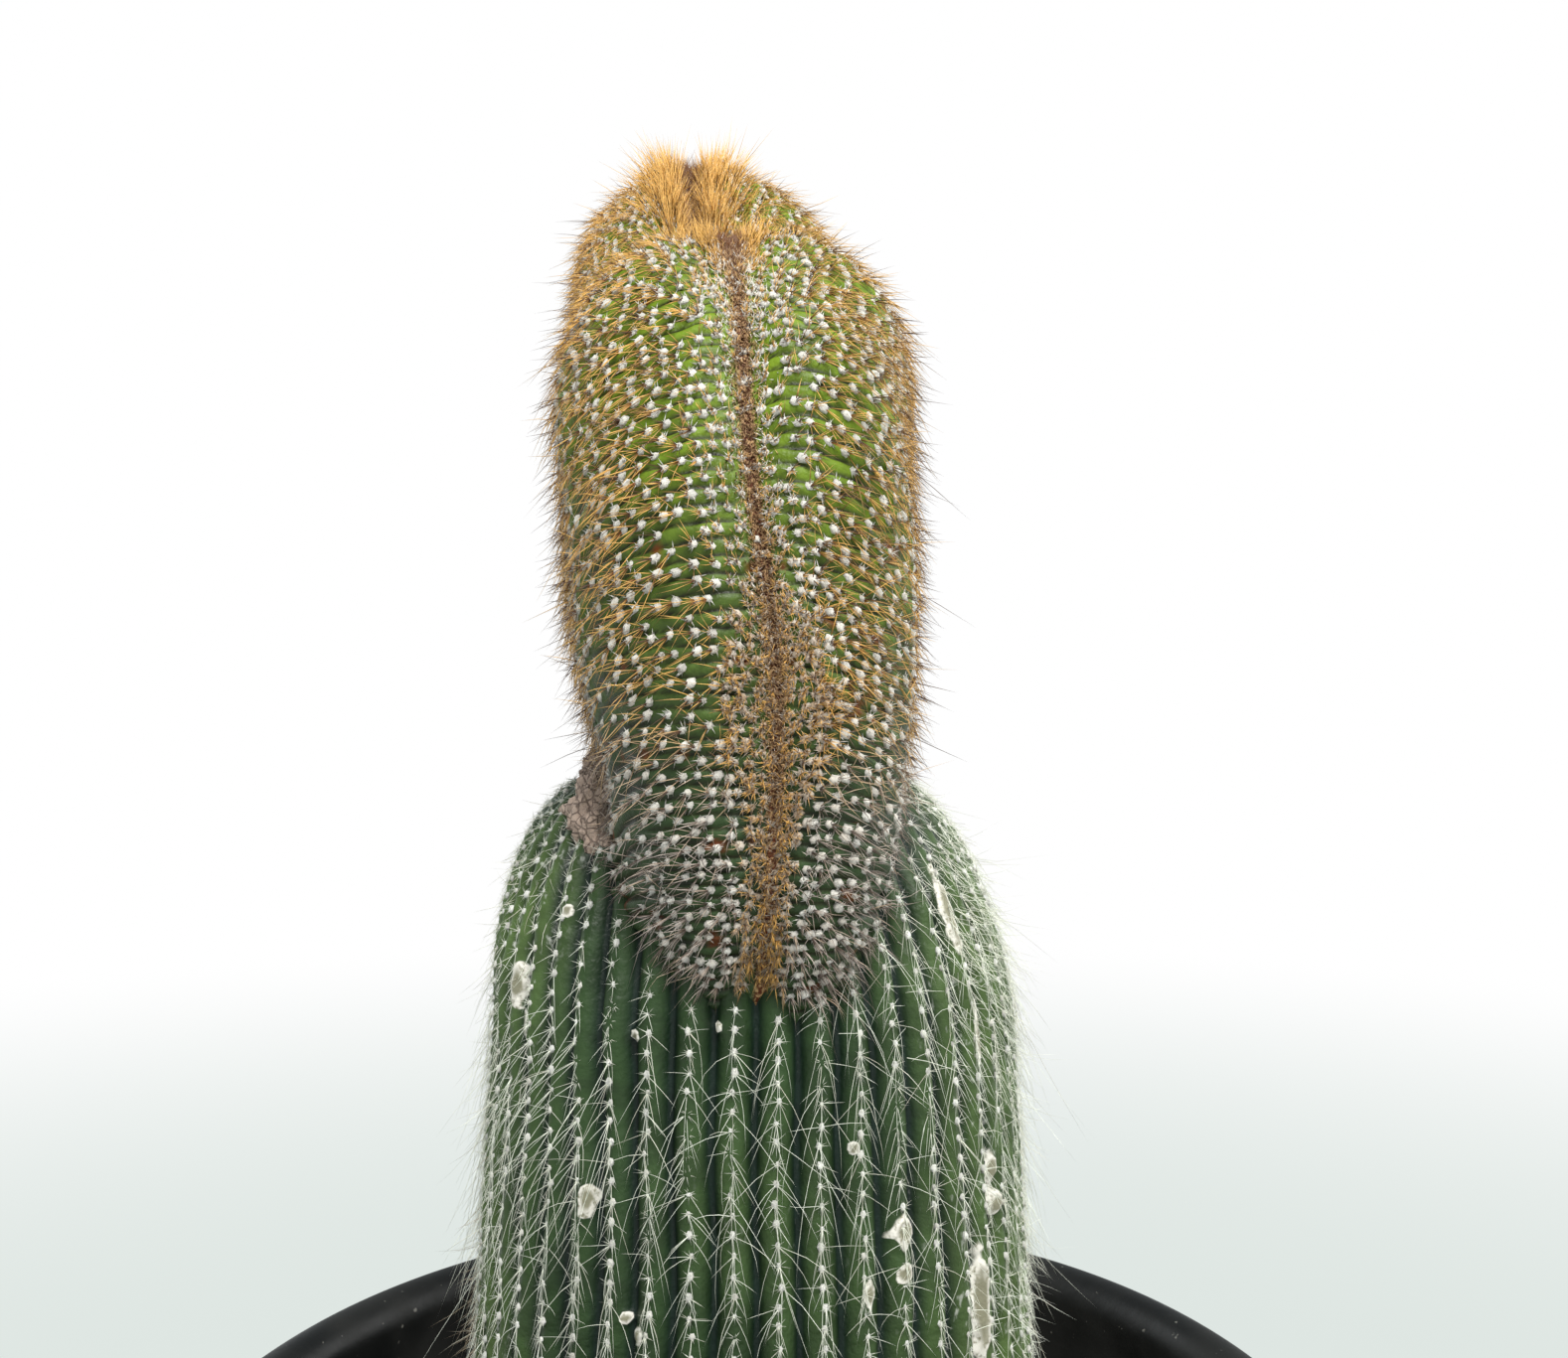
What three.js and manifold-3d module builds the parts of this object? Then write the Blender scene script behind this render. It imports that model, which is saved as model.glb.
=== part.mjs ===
// A tall crested cactus in a round black pot.
// Units are millimetres and +Z is up. The origin is the centre of the pot's foot, on the ground.
// The front of the plant, where the crest's growing line comes down to the stem, faces -Y.

import * as THREE from 'three';
import { mergeVertices } from 'three/addons/utils/BufferGeometryUtils.js';
import Module from 'manifold-3d';

const wasm = await Module();
wasm.setup();

// ---------------------------------------------------------------- driving dimensions

// Pot
const POT_HEIGHT = 330;
const RIM_RADIUS = 199;
const BASE_RADIUS = 140;
const WALL = 5;
const LIP_WIDTH = 22;
const LIP_HEIGHT = 30;
const FLOOR_THICKNESS = 6;
const FOOT_HEIGHT = 8;
const FOOT_WIDTH = 12;
const FOOT_ROUND = 6;
const DRAIN_RADIUS = 8;
const DRAIN_CIRCLE_RADIUS = 78;
const DRAIN_COUNT = 6;
const NOTCH_WIDTH = 14;
const NOTCH_DEPTH = 4;
const NOTCH_COUNT = 4;

// Potting mix
const SOIL_BELOW_RIM = 46;
const SOIL_MOUND = 6;
const SOIL_LUMP = 1.6;
const SOIL_LUMP_LENGTH = 14;
const SOIL_EDGE_WIDTH = 12;

// Stem: the lower, upright part of the plant
const STEM_RADIUS = 94.5;
const STEM_ABOVE_RIM = 222;
const STEM_TOP_RADIUS = 46;
const STEM_TAPER = 0.075;
const STEM_TAPER_POWER = 1.4;
const STEM_BURIED = 95;
const ROOT_CROWN_RADIUS = 42;
const ROOT_TAPER_POWER = 2.2;
const SHOULDER_DROP = 90;
const STEM_LEAN = 4.5;
const RIB_COUNT = 46;
const RIB_DEPTH = 5;
const RIB_TURN = THREE.MathUtils.degToRad(1.3);
const RIB_ROUNDNESS = 0.8;
const RIB_FADE = 16;
const RIB_LOSS_ON_TOP = 0.45;

// Crest: the fan on top, whose growing tip is a line from the front foot over to the back foot
const CREST_FRONT_REACH = 110;
const CREST_BACK_REACH = 124;
const FRONT_LOBE_RISE = 168;
const SADDLE_RISE = 166;
const BACK_LOBE_RISE = 226;
const FOOT_DROP = 52;
const HIDDEN_DROP = 105;
const HUB_RISE = -40;
const CREST_HALF_THICKNESS = 51;
const CREST_FOOT_HALF_THICKNESS = 39;
const HUB_HALF_THICKNESS = 43;
const CREST_EDGE_DEPTH = 50;
const LINE_GROOVE = 5;
const LINE_GROOVE_WIDTH = 0.26;
const BACK_LOBE_SIDESTEP = -19;
const LINE_WANDER = 7;

// Clearances
const SOIL_TO_POT = 0.3;
const STEM_TO_SOIL = 0.3;
const SOCKET_OVERCUT = 20;

// Fineness of the solids
const POT_SEGMENTS = 72;
const STEPS_PER_RIB = 4;
const LINE_STEPS = 84;
const EDGE_STEPS = 6;
const FLANK_STEPS = 4;
const DRAIN_SEGMENTS = 20;
const LIP_ARC_STEPS = 10;

// Heights that follow from the driving dimensions
const SOIL_TOP = POT_HEIGHT - SOIL_BELOW_RIM;
const STEM_TOP = POT_HEIGHT + STEM_ABOVE_RIM;
const STEM_FOOT = SOIL_TOP - STEM_BURIED;
const POT_FLOOR = FOOT_HEIGHT + FLOOR_THICKNESS;
const SHOULDER = STEM_TOP - SHOULDER_DROP;
const SOCKET_TOP = SOIL_TOP + SOCKET_OVERCUT;

// ---------------------------------------------------------------- solids from meshes

/** A solid from a closed geometry, with only its positions kept and shared. */
function toSolid(geometry) {
  const bare = new THREE.BufferGeometry();
  bare.setAttribute('position', geometry.getAttribute('position'));
  bare.setIndex(geometry.getIndex());
  const merged = mergeVertices(bare, 1e-4);
  const kept = [];
  const index = merged.getIndex().array;
  for (let i = 0; i < index.length; i += 3) {
    const [a, b, c] = [index[i], index[i + 1], index[i + 2]];
    if (a !== b && b !== c && c !== a) {
      kept.push(a, b, c);
    }
  }
  return new wasm.Manifold(new wasm.Mesh({
    numProp: 3,
    vertProperties: new Float32Array(merged.getAttribute('position').array),
    triVerts: new Uint32Array(kept),
  }));
}

/** The geometry of a solid's surface. */
function toGeometry(solid) {
  const mesh = solid.getMesh();
  const geometry = new THREE.BufferGeometry();
  geometry.setAttribute('position', new THREE.BufferAttribute(new Float32Array(mesh.vertProperties), 3));
  geometry.setIndex(new THREE.BufferAttribute(new Uint32Array(mesh.triVerts), 1));
  geometry.computeVertexNormals();
  return geometry;
}

/** A solid of revolution about Z from [radius, height] points that start and end on the axis. */
function turned(profile, segments) {
  const geometry = new THREE.LatheGeometry(profile.map(([r, z]) => new THREE.Vector2(r, z)), segments);
  geometry.rotateX(Math.PI / 2);
  return geometry;
}

/** An upright cylinder between two heights, centred on x, y. */
function uprightCylinder(radius, low, high, x, y, segments) {
  const geometry = new THREE.CylinderGeometry(radius, radius, high - low, segments);
  geometry.rotateX(Math.PI / 2);
  geometry.translate(x, y, (low + high) / 2);
  return geometry;
}

/** Goes smoothly from 0 at the low value to 1 at the high one. */
function smoothstep(low, high, value) {
  const t = THREE.MathUtils.clamp((value - low) / (high - low), 0, 1);
  return t * t * (3 - 2 * t);
}

/** How far the middle of a quarter round of radius 1 lies inside its square corner. */
const ROUND_MIDDLE = 1 - Math.SQRT1_2;

// ---------------------------------------------------------------- pot

/** Inside radius of the pot's wall at a height. The wall tapers evenly from under the lip to the base. */
function potInsideRadius(z) {
  const top = RIM_RADIUS - LIP_WIDTH;
  const bottom = BASE_RADIUS - WALL;
  return Math.min(top, THREE.MathUtils.mapLinear(z, FOOT_HEIGHT, POT_HEIGHT - LIP_HEIGHT, bottom, top));
}

function makePot() {
  const footInside = BASE_RADIUS - FOOT_WIDTH;
  const lipUnder = POT_HEIGHT - LIP_HEIGHT;
  const lipHalf = LIP_WIDTH / 2;
  const lipCentre = RIM_RADIUS - lipHalf;
  const insideTop = RIM_RADIUS - LIP_WIDTH;
  const profile = [
    [0, FOOT_HEIGHT],
    [footInside, FOOT_HEIGHT],
    [footInside, 0],
    [BASE_RADIUS - FOOT_ROUND, 0],
    [BASE_RADIUS - ROUND_MIDDLE * FOOT_ROUND, ROUND_MIDDLE * FOOT_ROUND],
    [BASE_RADIUS, FOOT_ROUND],
    [insideTop + WALL, lipUnder],
    [RIM_RADIUS - ROUND_MIDDLE * lipHalf, lipUnder],
    [RIM_RADIUS, lipUnder + ROUND_MIDDLE * lipHalf],
  ];
  for (let i = 0; i <= LIP_ARC_STEPS; i += 1) {
    const angle = (Math.PI * i) / LIP_ARC_STEPS;
    profile.push([lipCentre + lipHalf * Math.cos(angle), POT_HEIGHT - lipHalf + lipHalf * Math.sin(angle)]);
  }
  profile.push([insideTop, lipUnder]);
  profile.push([potInsideRadius(POT_FLOOR), POT_FLOOR]);
  profile.push([0, POT_FLOOR]);

  let pot = toSolid(turned(profile, POT_SEGMENTS));
  const through = 1;
  const holes = [[0, 0]];
  for (let i = 0; i < DRAIN_COUNT; i += 1) {
    const angle = (2 * Math.PI * i) / DRAIN_COUNT;
    holes.push([DRAIN_CIRCLE_RADIUS * Math.cos(angle), DRAIN_CIRCLE_RADIUS * Math.sin(angle)]);
  }
  for (const [x, y] of holes) {
    const hole = uprightCylinder(DRAIN_RADIUS, -through, POT_FLOOR + through, x, y, DRAIN_SEGMENTS);
    pot = pot.subtract(toSolid(hole));
  }
  for (let i = 0; i < NOTCH_COUNT; i += 1) {
    const notch = new THREE.BoxGeometry(2 * FOOT_WIDTH + 2 * through, NOTCH_WIDTH, 2 * NOTCH_DEPTH);
    notch.translate(BASE_RADIUS - FOOT_WIDTH / 2, 0, 0);
    notch.rotateZ((2 * Math.PI * (i + 0.5)) / NOTCH_COUNT);
    pot = pot.subtract(toSolid(notch));
  }
  return toGeometry(pot);
}

// ---------------------------------------------------------------- stem

/** Radius of the stem over its rib crests at a height. */
function stemRadius(z) {
  const atShoulder = STEM_RADIUS * (1 - STEM_TAPER);
  if (z >= SHOULDER) {
    const rise = THREE.MathUtils.clamp((z - SHOULDER) / SHOULDER_DROP, 0, 1);
    return STEM_TOP_RADIUS + (atShoulder - STEM_TOP_RADIUS) * Math.sqrt(1 - rise * rise);
  }
  if (z >= SOIL_TOP) {
    const rise = (z - SOIL_TOP) / (SHOULDER - SOIL_TOP);
    return STEM_RADIUS * (1 - STEM_TAPER * Math.pow(rise, STEM_TAPER_POWER));
  }
  const depth = THREE.MathUtils.clamp((SOIL_TOP - z) / STEM_BURIED, 0, 1);
  return THREE.MathUtils.lerp(STEM_RADIUS, ROOT_CROWN_RADIUS, Math.pow(depth, ROOT_TAPER_POWER));
}

/** How far the stem's centre has moved to the left at a height. */
function stemLean(z) {
  return -STEM_LEAN * smoothstep(SHOULDER, STEM_TOP, z);
}

/** The stem up to a height, grown by a margin: rounded ribs with V-shaped furrows between them. */
function stemGeometry(margin, high) {
  const around = RIB_COUNT * STEPS_PER_RIB;
  const levels = [
    STEM_FOOT,
    STEM_FOOT + 0.25 * STEM_BURIED,
    STEM_FOOT + 0.55 * STEM_BURIED,
    SOIL_TOP - RIB_FADE,
    SOIL_TOP,
    SOCKET_TOP,
    (SOCKET_TOP + SHOULDER) / 2,
    SHOULDER,
    SHOULDER + 0.40 * SHOULDER_DROP,
    SHOULDER + 0.68 * SHOULDER_DROP,
    SHOULDER + 0.88 * SHOULDER_DROP,
    STEM_TOP,
  ].filter((z) => z <= high);
  const positions = [];
  for (const z of levels) {
    const ribs = smoothstep(SOIL_TOP - 2 * RIB_FADE, SOIL_TOP - 0.5 * RIB_FADE, z)
      * (1 - RIB_LOSS_ON_TOP * smoothstep(STEM_TOP - 0.5 * SHOULDER_DROP, STEM_TOP, z));
    for (let i = 0; i < around; i += 1) {
      const aroundRib = (2 * Math.PI * i) / STEPS_PER_RIB;
      const angle = aroundRib / RIB_COUNT + RIB_TURN;
      const furrow = 1 - Math.pow(Math.abs(Math.cos(aroundRib / 2)), RIB_ROUNDNESS);
      const radius = stemRadius(z) - RIB_DEPTH * ribs * furrow + margin;
      const height = z === STEM_FOOT ? z - margin : z;
      positions.push(stemLean(z) + radius * Math.cos(angle), radius * Math.sin(angle), height);
    }
  }
  const lastLevel = levels.length - 1;
  const bottomCentre = positions.length / 3;
  positions.push(0, 0, levels[0] - margin);
  const topCentre = bottomCentre + 1;
  positions.push(stemLean(levels[lastLevel]), 0, levels[lastLevel]);
  const index = [];
  for (let i = 0; i < around; i += 1) {
    const next = (i + 1) % around;
    for (let level = 0; level < lastLevel; level += 1) {
      const here = level * around;
      const above = here + around;
      index.push(here + i, here + next, above + next);
      index.push(here + i, above + next, above + i);
    }
    index.push(bottomCentre, next, i);
    index.push(topCentre, lastLevel * around + i, lastLevel * around + next);
  }
  const geometry = new THREE.BufferGeometry();
  geometry.setAttribute('position', new THREE.Float32BufferAttribute(positions, 3));
  geometry.setIndex(index);
  return geometry;
}

// ---------------------------------------------------------------- crest

// The crest's outline in the plane x = 0, from the front foot over the two lobes to the back foot.
// The last three points close it inside the stem. Each point is:
// [y, height over the stem's top, half thickness, sidestep of the fan, wander of the growing line].
const FRONT = -CREST_FRONT_REACH;
const BACK = CREST_BACK_REACH;
const THICK = CREST_HALF_THICKNESS;
const FOOT_THICK = CREST_FOOT_HALF_THICKNESS;
const STEP = BACK_LOBE_SIDESTEP;
const crestOutline = [
  [0.82 * FRONT, -FOOT_DROP, FOOT_THICK, 0, 0.6 * LINE_WANDER],
  [0.96 * FRONT, -0.42 * FOOT_DROP, 0.80 * THICK, 0, LINE_WANDER],
  [FRONT, 0.20 * FRONT_LOBE_RISE, 0.88 * THICK, -0.15 * STEP, 0.8 * LINE_WANDER],
  [0.95 * FRONT, 0.55 * FRONT_LOBE_RISE, 0.97 * THICK, 0.15 * STEP, 0.6 * LINE_WANDER],
  [0.77 * FRONT, 0.86 * FRONT_LOBE_RISE, 1.02 * THICK, 0.15 * STEP, 0],
  [0.48 * FRONT, FRONT_LOBE_RISE, 1.04 * THICK, 0.2 * STEP, -0.5 * LINE_WANDER],
  [0.11 * FRONT, SADDLE_RISE, 0.98 * THICK, 0.5 * STEP, -0.5 * LINE_WANDER],
  [0.20 * BACK, 0.5 * (SADDLE_RISE + BACK_LOBE_RISE), 0.93 * THICK, 0.85 * STEP, -LINE_WANDER],
  [0.50 * BACK, BACK_LOBE_RISE, 0.93 * THICK, STEP, -LINE_WANDER],
  [0.82 * BACK, 0.88 * BACK_LOBE_RISE, 0.95 * THICK, STEP, 0],
  [0.98 * BACK, 0.62 * BACK_LOBE_RISE, THICK, 0.7 * STEP, 0.5 * LINE_WANDER],
  [BACK, 0.32 * BACK_LOBE_RISE, 0.96 * THICK, 0.3 * STEP, 0.5 * LINE_WANDER],
  [0.90 * BACK, 0.02 * BACK_LOBE_RISE, 0.90 * THICK, 0, 0],
  [0.74 * BACK, -0.85 * FOOT_DROP, FOOT_THICK, 0, 0],
  [0.45 * BACK, -0.95 * HIDDEN_DROP, FOOT_THICK, 0, 0],
  [0, -HIDDEN_DROP, FOOT_THICK, 0, 0],
  [0.50 * FRONT, -0.95 * HIDDEN_DROP, FOOT_THICK, 0, 0],
];

/** The crest as one closed body. Across the growing line its edge is a rounded arch with a shallow
 *  groove along the line; from the arch each flank runs in to the hub, where the fan's ribs meet. */
function crestGeometry() {
  const hubZ = STEM_TOP + HUB_RISE;
  const lineCurve = new THREE.CatmullRomCurve3(
    crestOutline.map(([y, rise]) => new THREE.Vector3(0, y, STEM_TOP + rise)), true, 'centripetal');
  const traits = new THREE.CatmullRomCurve3(
    crestOutline.map(([, , half, side, wander]) => new THREE.Vector3(half, side, wander)), true, 'centripetal');
  const rings = EDGE_STEPS + FLANK_STEPS - 1;
  const rowLength = 2 * rings + 1;
  const positions = [];
  for (let i = 0; i < LINE_STEPS; i += 1) {
    const t = lineCurve.getUtoTmapping(i / LINE_STEPS);
    const edge = lineCurve.getPoint(t);
    const { x: half, y: side, z: wander } = traits.getPoint(t);
    const reach = Math.hypot(edge.y, edge.z - hubZ);
    const outY = edge.y / reach;
    const outZ = (edge.z - hubZ) / reach;
    for (let j = -rings; j <= rings; j += 1) {
      const step = Math.abs(j);
      const bend = (Math.PI / 2) * Math.min(step / EDGE_STEPS, 1);
      const groove = LINE_GROOVE * Math.exp(-Math.pow(bend / LINE_GROOVE_WIDTH, 2));
      const shoulder = reach - CREST_EDGE_DEPTH * (1 - Math.cos(bend)) - groove;
      const inward = Math.max(0, step - EDGE_STEPS) / FLANK_STEPS;
      const radial = shoulder * (1 - inward);
      const thickness = THREE.MathUtils.lerp(half, HUB_HALF_THICKNESS, inward) * Math.sin(bend);
      const x = side * (1 - inward) + Math.sign(j) * thickness + wander * (1 - Math.sin(bend));
      positions.push(x, outY * radial, hubZ + outZ * radial);
    }
  }
  const hubRight = positions.length / 3;
  positions.push(HUB_HALF_THICKNESS, 0, hubZ);
  const hubLeft = hubRight + 1;
  positions.push(-HUB_HALF_THICKNESS, 0, hubZ);
  const index = [];
  for (let i = 0; i < LINE_STEPS; i += 1) {
    const here = i * rowLength;
    const next = ((i + 1) % LINE_STEPS) * rowLength;
    for (let j = 0; j < rowLength - 1; j += 1) {
      index.push(here + j, here + j + 1, next + j + 1);
      index.push(here + j, next + j + 1, next + j);
    }
    index.push(hubLeft, here, next);
    index.push(hubRight, next + rowLength - 1, here + rowLength - 1);
  }
  const geometry = new THREE.BufferGeometry();
  geometry.setAttribute('position', new THREE.Float32BufferAttribute(positions, 3));
  geometry.setIndex(index);
  return geometry;
}

function makeCactus() {
  const stem = toSolid(stemGeometry(0, STEM_TOP));
  const crest = toSolid(crestGeometry());
  return toGeometry(stem.add(crest));
}

// ---------------------------------------------------------------- potting mix

/** Height of the mix's surface: a low mound against the stem, with gentle lumps. */
function soilHeight(x, y) {
  const radius = Math.hypot(x, y);
  const edge = potInsideRadius(SOIL_TOP);
  const mound = SOIL_MOUND * (1 - smoothstep(STEM_RADIUS, edge, radius));
  const [u, v] = [x / SOIL_LUMP_LENGTH, y / SOIL_LUMP_LENGTH];
  const lumps = Math.sin(u + 1.3) * Math.cos(1.2 * v - 0.4) + 0.6 * Math.sin(1.8 * (u - v));
  const inside = 1 - smoothstep(edge - SOIL_EDGE_WIDTH, edge, radius);
  return SOIL_TOP - SOIL_MOUND + mound + SOIL_LUMP * lumps * inside;
}

function makeSoil() {
  const bottom = POT_FLOOR + SOIL_TO_POT;
  const wallRadius = (z) => potInsideRadius(z) - SOIL_TO_POT;
  const edgeHeight = SOIL_TOP - SOIL_MOUND;
  const rings = 5;
  const profile = [
    [0, bottom],
    [wallRadius(bottom), bottom],
    [wallRadius(edgeHeight), edgeHeight],
  ];
  for (let i = 1; i <= rings; i += 1) {
    profile.push([THREE.MathUtils.lerp(wallRadius(edgeHeight), 0.8 * STEM_RADIUS, i / rings), SOIL_TOP]);
  }
  profile.push([0, SOIL_TOP]);
  const geometry = turned(profile, POT_SEGMENTS);
  const position = geometry.getAttribute('position');
  for (let i = 0; i < position.count; i += 1) {
    if (position.getZ(i) > edgeHeight + 0.5 * SOIL_MOUND) {
      position.setZ(i, soilHeight(position.getX(i), position.getY(i)));
    }
  }
  const socket = toSolid(stemGeometry(STEM_TO_SOIL, SOCKET_TOP));
  return toGeometry(toSolid(geometry).subtract(socket));
}

// ---------------------------------------------------------------- assembly

function part(name, geometry, colour, roughness) {
  const material = new THREE.MeshStandardMaterial({ color: colour, roughness, metalness: 0 });
  const mesh = new THREE.Mesh(geometry, material);
  mesh.name = name;
  return mesh;
}

const pottedCactus = new THREE.Group();
pottedCactus.add(part('pot', makePot(), 0x1b1e1f, 0.45));
pottedCactus.add(part('soil', makeSoil(), 0x4a3d31, 0.95));
pottedCactus.add(part('cactus', makeCactus(), 0x4f7a35, 0.6));

export default pottedCactus;
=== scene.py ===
"""A tall crested cactus in a round black pot: the looks built around the solid model.

Lengths are metres and +Z is up. The front of the plant faces -Y. Every piece is a surface worked out
with numpy from the sizes in the property groups, in the same frame as the solids.
"""
import math

import bpy
import numpy as np
from bpy.props import FloatProperty, FloatVectorProperty, IntProperty, PointerProperty
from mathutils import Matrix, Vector


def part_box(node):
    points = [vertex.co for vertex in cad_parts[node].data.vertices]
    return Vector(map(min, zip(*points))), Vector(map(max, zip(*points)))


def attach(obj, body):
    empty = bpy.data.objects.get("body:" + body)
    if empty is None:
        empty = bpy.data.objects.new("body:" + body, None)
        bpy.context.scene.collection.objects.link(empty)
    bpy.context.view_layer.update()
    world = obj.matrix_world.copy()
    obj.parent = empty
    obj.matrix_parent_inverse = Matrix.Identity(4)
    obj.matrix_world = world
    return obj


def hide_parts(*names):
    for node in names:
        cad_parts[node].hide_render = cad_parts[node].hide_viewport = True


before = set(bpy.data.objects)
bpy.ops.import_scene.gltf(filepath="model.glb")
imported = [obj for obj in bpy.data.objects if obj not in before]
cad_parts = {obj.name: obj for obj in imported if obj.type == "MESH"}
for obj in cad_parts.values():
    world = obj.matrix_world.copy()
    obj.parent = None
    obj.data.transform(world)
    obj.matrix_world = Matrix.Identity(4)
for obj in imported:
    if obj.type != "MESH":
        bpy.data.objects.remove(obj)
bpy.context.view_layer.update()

bl_info = {
    "name": "Crested cactus in a pot",
    "version": (1, 0, 0),
    "blender": (4, 5, 0),
    "location": "3D View > Sidebar > Cactus",
    "description": "Builds a tall crested cactus in a round black pot, piece by piece",
    "category": "Add Mesh",
}

MM = 0.001
POT_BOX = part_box("pot")
FULL_TURN = 2 * np.pi


# ---------------------------------------------------------------- settings

def length(name, description, default):
    return FloatProperty(name=name, description=description, default=default, unit="LENGTH")


def angle(name, description, degrees):
    return FloatProperty(name=name, description=description, default=math.radians(degrees), unit="ROTATION")


def share(name, description, default):
    return FloatProperty(name=name, description=description, default=default, subtype="FACTOR", min=0, max=4)


def count(name, description, default):
    return IntProperty(name=name, description=description, default=default, min=0)


def colour(name, description, red, green, blue):
    """A colour whose default is given as 8-bit display values and kept as scene-linear ones."""
    display = np.array([red, green, blue]) / 255
    linear = np.where(display < 0.04045, display / 12.92, ((display + 0.055) / 1.055) ** 2.4)
    return FloatVectorProperty(name=name, description=description, default=tuple(linear.tolist()),
                               subtype="COLOR", size=3, min=0, max=1)


class PotSettings(bpy.types.PropertyGroup):
    height: length("Height", "Height of the pot's rim", POT_BOX[1][2])
    rim_radius: length("Rim radius", "Outside radius of the lip", POT_BOX[1][0])
    base_radius: length("Base radius", "Outside radius at the foot", 140 * MM)
    wall: length("Wall", "Thickness of the wall", 5 * MM)
    lip_width: length("Lip width", "Width of the rolled lip", 22 * MM)
    lip_height: length("Lip height", "Height of the lip's skirt", 30 * MM)
    foot_height: length("Foot height", "Height of the floor's underside", 8 * MM)
    foot_width: length("Foot width", "Width of the foot ring", 12 * MM)
    floor: length("Floor", "Thickness of the floor", 6 * MM)
    drain_radius: length("Drain radius", "Radius of a drain hole", 8 * MM)
    drain_circle: length("Drain circle", "Radius of the ring of drain holes", 78 * MM)
    drain_count: count("Drain holes", "Holes in the ring, besides the middle one", 6)
    plastic: colour("Plastic", "Colour of the pot", 9, 11, 11)
    dust: colour("Dust", "Colour of dried splashes and dust on the pot", 136, 134, 126)


class SoilSettings(bpy.types.PropertyGroup):
    below_rim: length("Below rim", "How far the potting mix lies under the rim", 46 * MM)
    mound: length("Mound", "How far the mix rises towards the stem", 6 * MM)
    gap: length("Gap", "Clearance to the pot", 0.3 * MM)
    grain: length("Grain", "Height of the mix's crumbs", 1.3 * MM)
    stones: count("Stones", "Loose bits of pumice and gravel", 900)
    stone_size: length("Stone size", "Mean radius of a bit", 2.3 * MM)
    dark: colour("Dark crumbs", "Colour of the damp mix", 48, 38, 30)
    light: colour("Light crumbs", "Colour of the dry mix", 112, 92, 72)
    pumice: colour("Pumice", "Colour of the stones", 178, 168, 150)


class StemSettings(bpy.types.PropertyGroup):
    radius: length("Radius", "Radius over the ribs at the potting mix", 94.5 * MM)
    top_radius: length("Top radius", "Radius where the crest sits", 46 * MM)
    above_rim: length("Above rim", "Height of the stem's top over the pot's rim", 222 * MM)
    taper: share("Taper", "Share of the radius lost up to the shoulder", 0.075)
    buried: length("Buried", "Depth of the stem's foot in the mix", 95 * MM)
    root_crown: length("Root crown", "Radius of the buried foot", 42 * MM)
    shoulder_drop: length("Shoulder", "Height of the rounded shoulder", 90 * MM)
    lean: length("Lean", "How far the top lies to the left", 4.5 * MM)
    ribs: count("Ribs", "Number of ribs", 46)
    rib_depth: length("Rib depth", "Depth of a furrow", 5 * MM)
    rib_turn: angle("Rib turn", "Turn of the ribs round the stem", 1.3)
    areole_step: length("Areole step", "Distance between areoles on a rib", 5.6 * MM)
    bristles: count("Bristles", "Long bristles from one areole", 4)
    radials: count("Radials", "Short fine spines from one areole", 8)
    # Furrow is painted shade: the skin in the furrows is made dark blue-green where shade falls between the
    # ribs.
    furrow: colour("Furrow", "Skin in the furrows", 10, 30, 22)
    ridge: colour("Ridge", "Skin on the ribs", 40, 62, 30)
    # Pale ridge is painted side light: the ribs on the right and left sides are made paler where light falls
    # on them more than in front.
    pale: colour("Pale ridge", "Skin on the ribs where they are dusty and lit", 78, 100, 52)
    scar: colour("Scar", "Middle of the old corky marks", 132, 130, 108)
    wool: colour("Wool", "White felt of the areoles", 252, 252, 246)
    bristle: colour("Bristle", "Colour of the bristles", 232, 236, 222)
    old_hair: colour("Old hair", "Matted hair low on the stem", 168, 152, 128)


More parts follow.
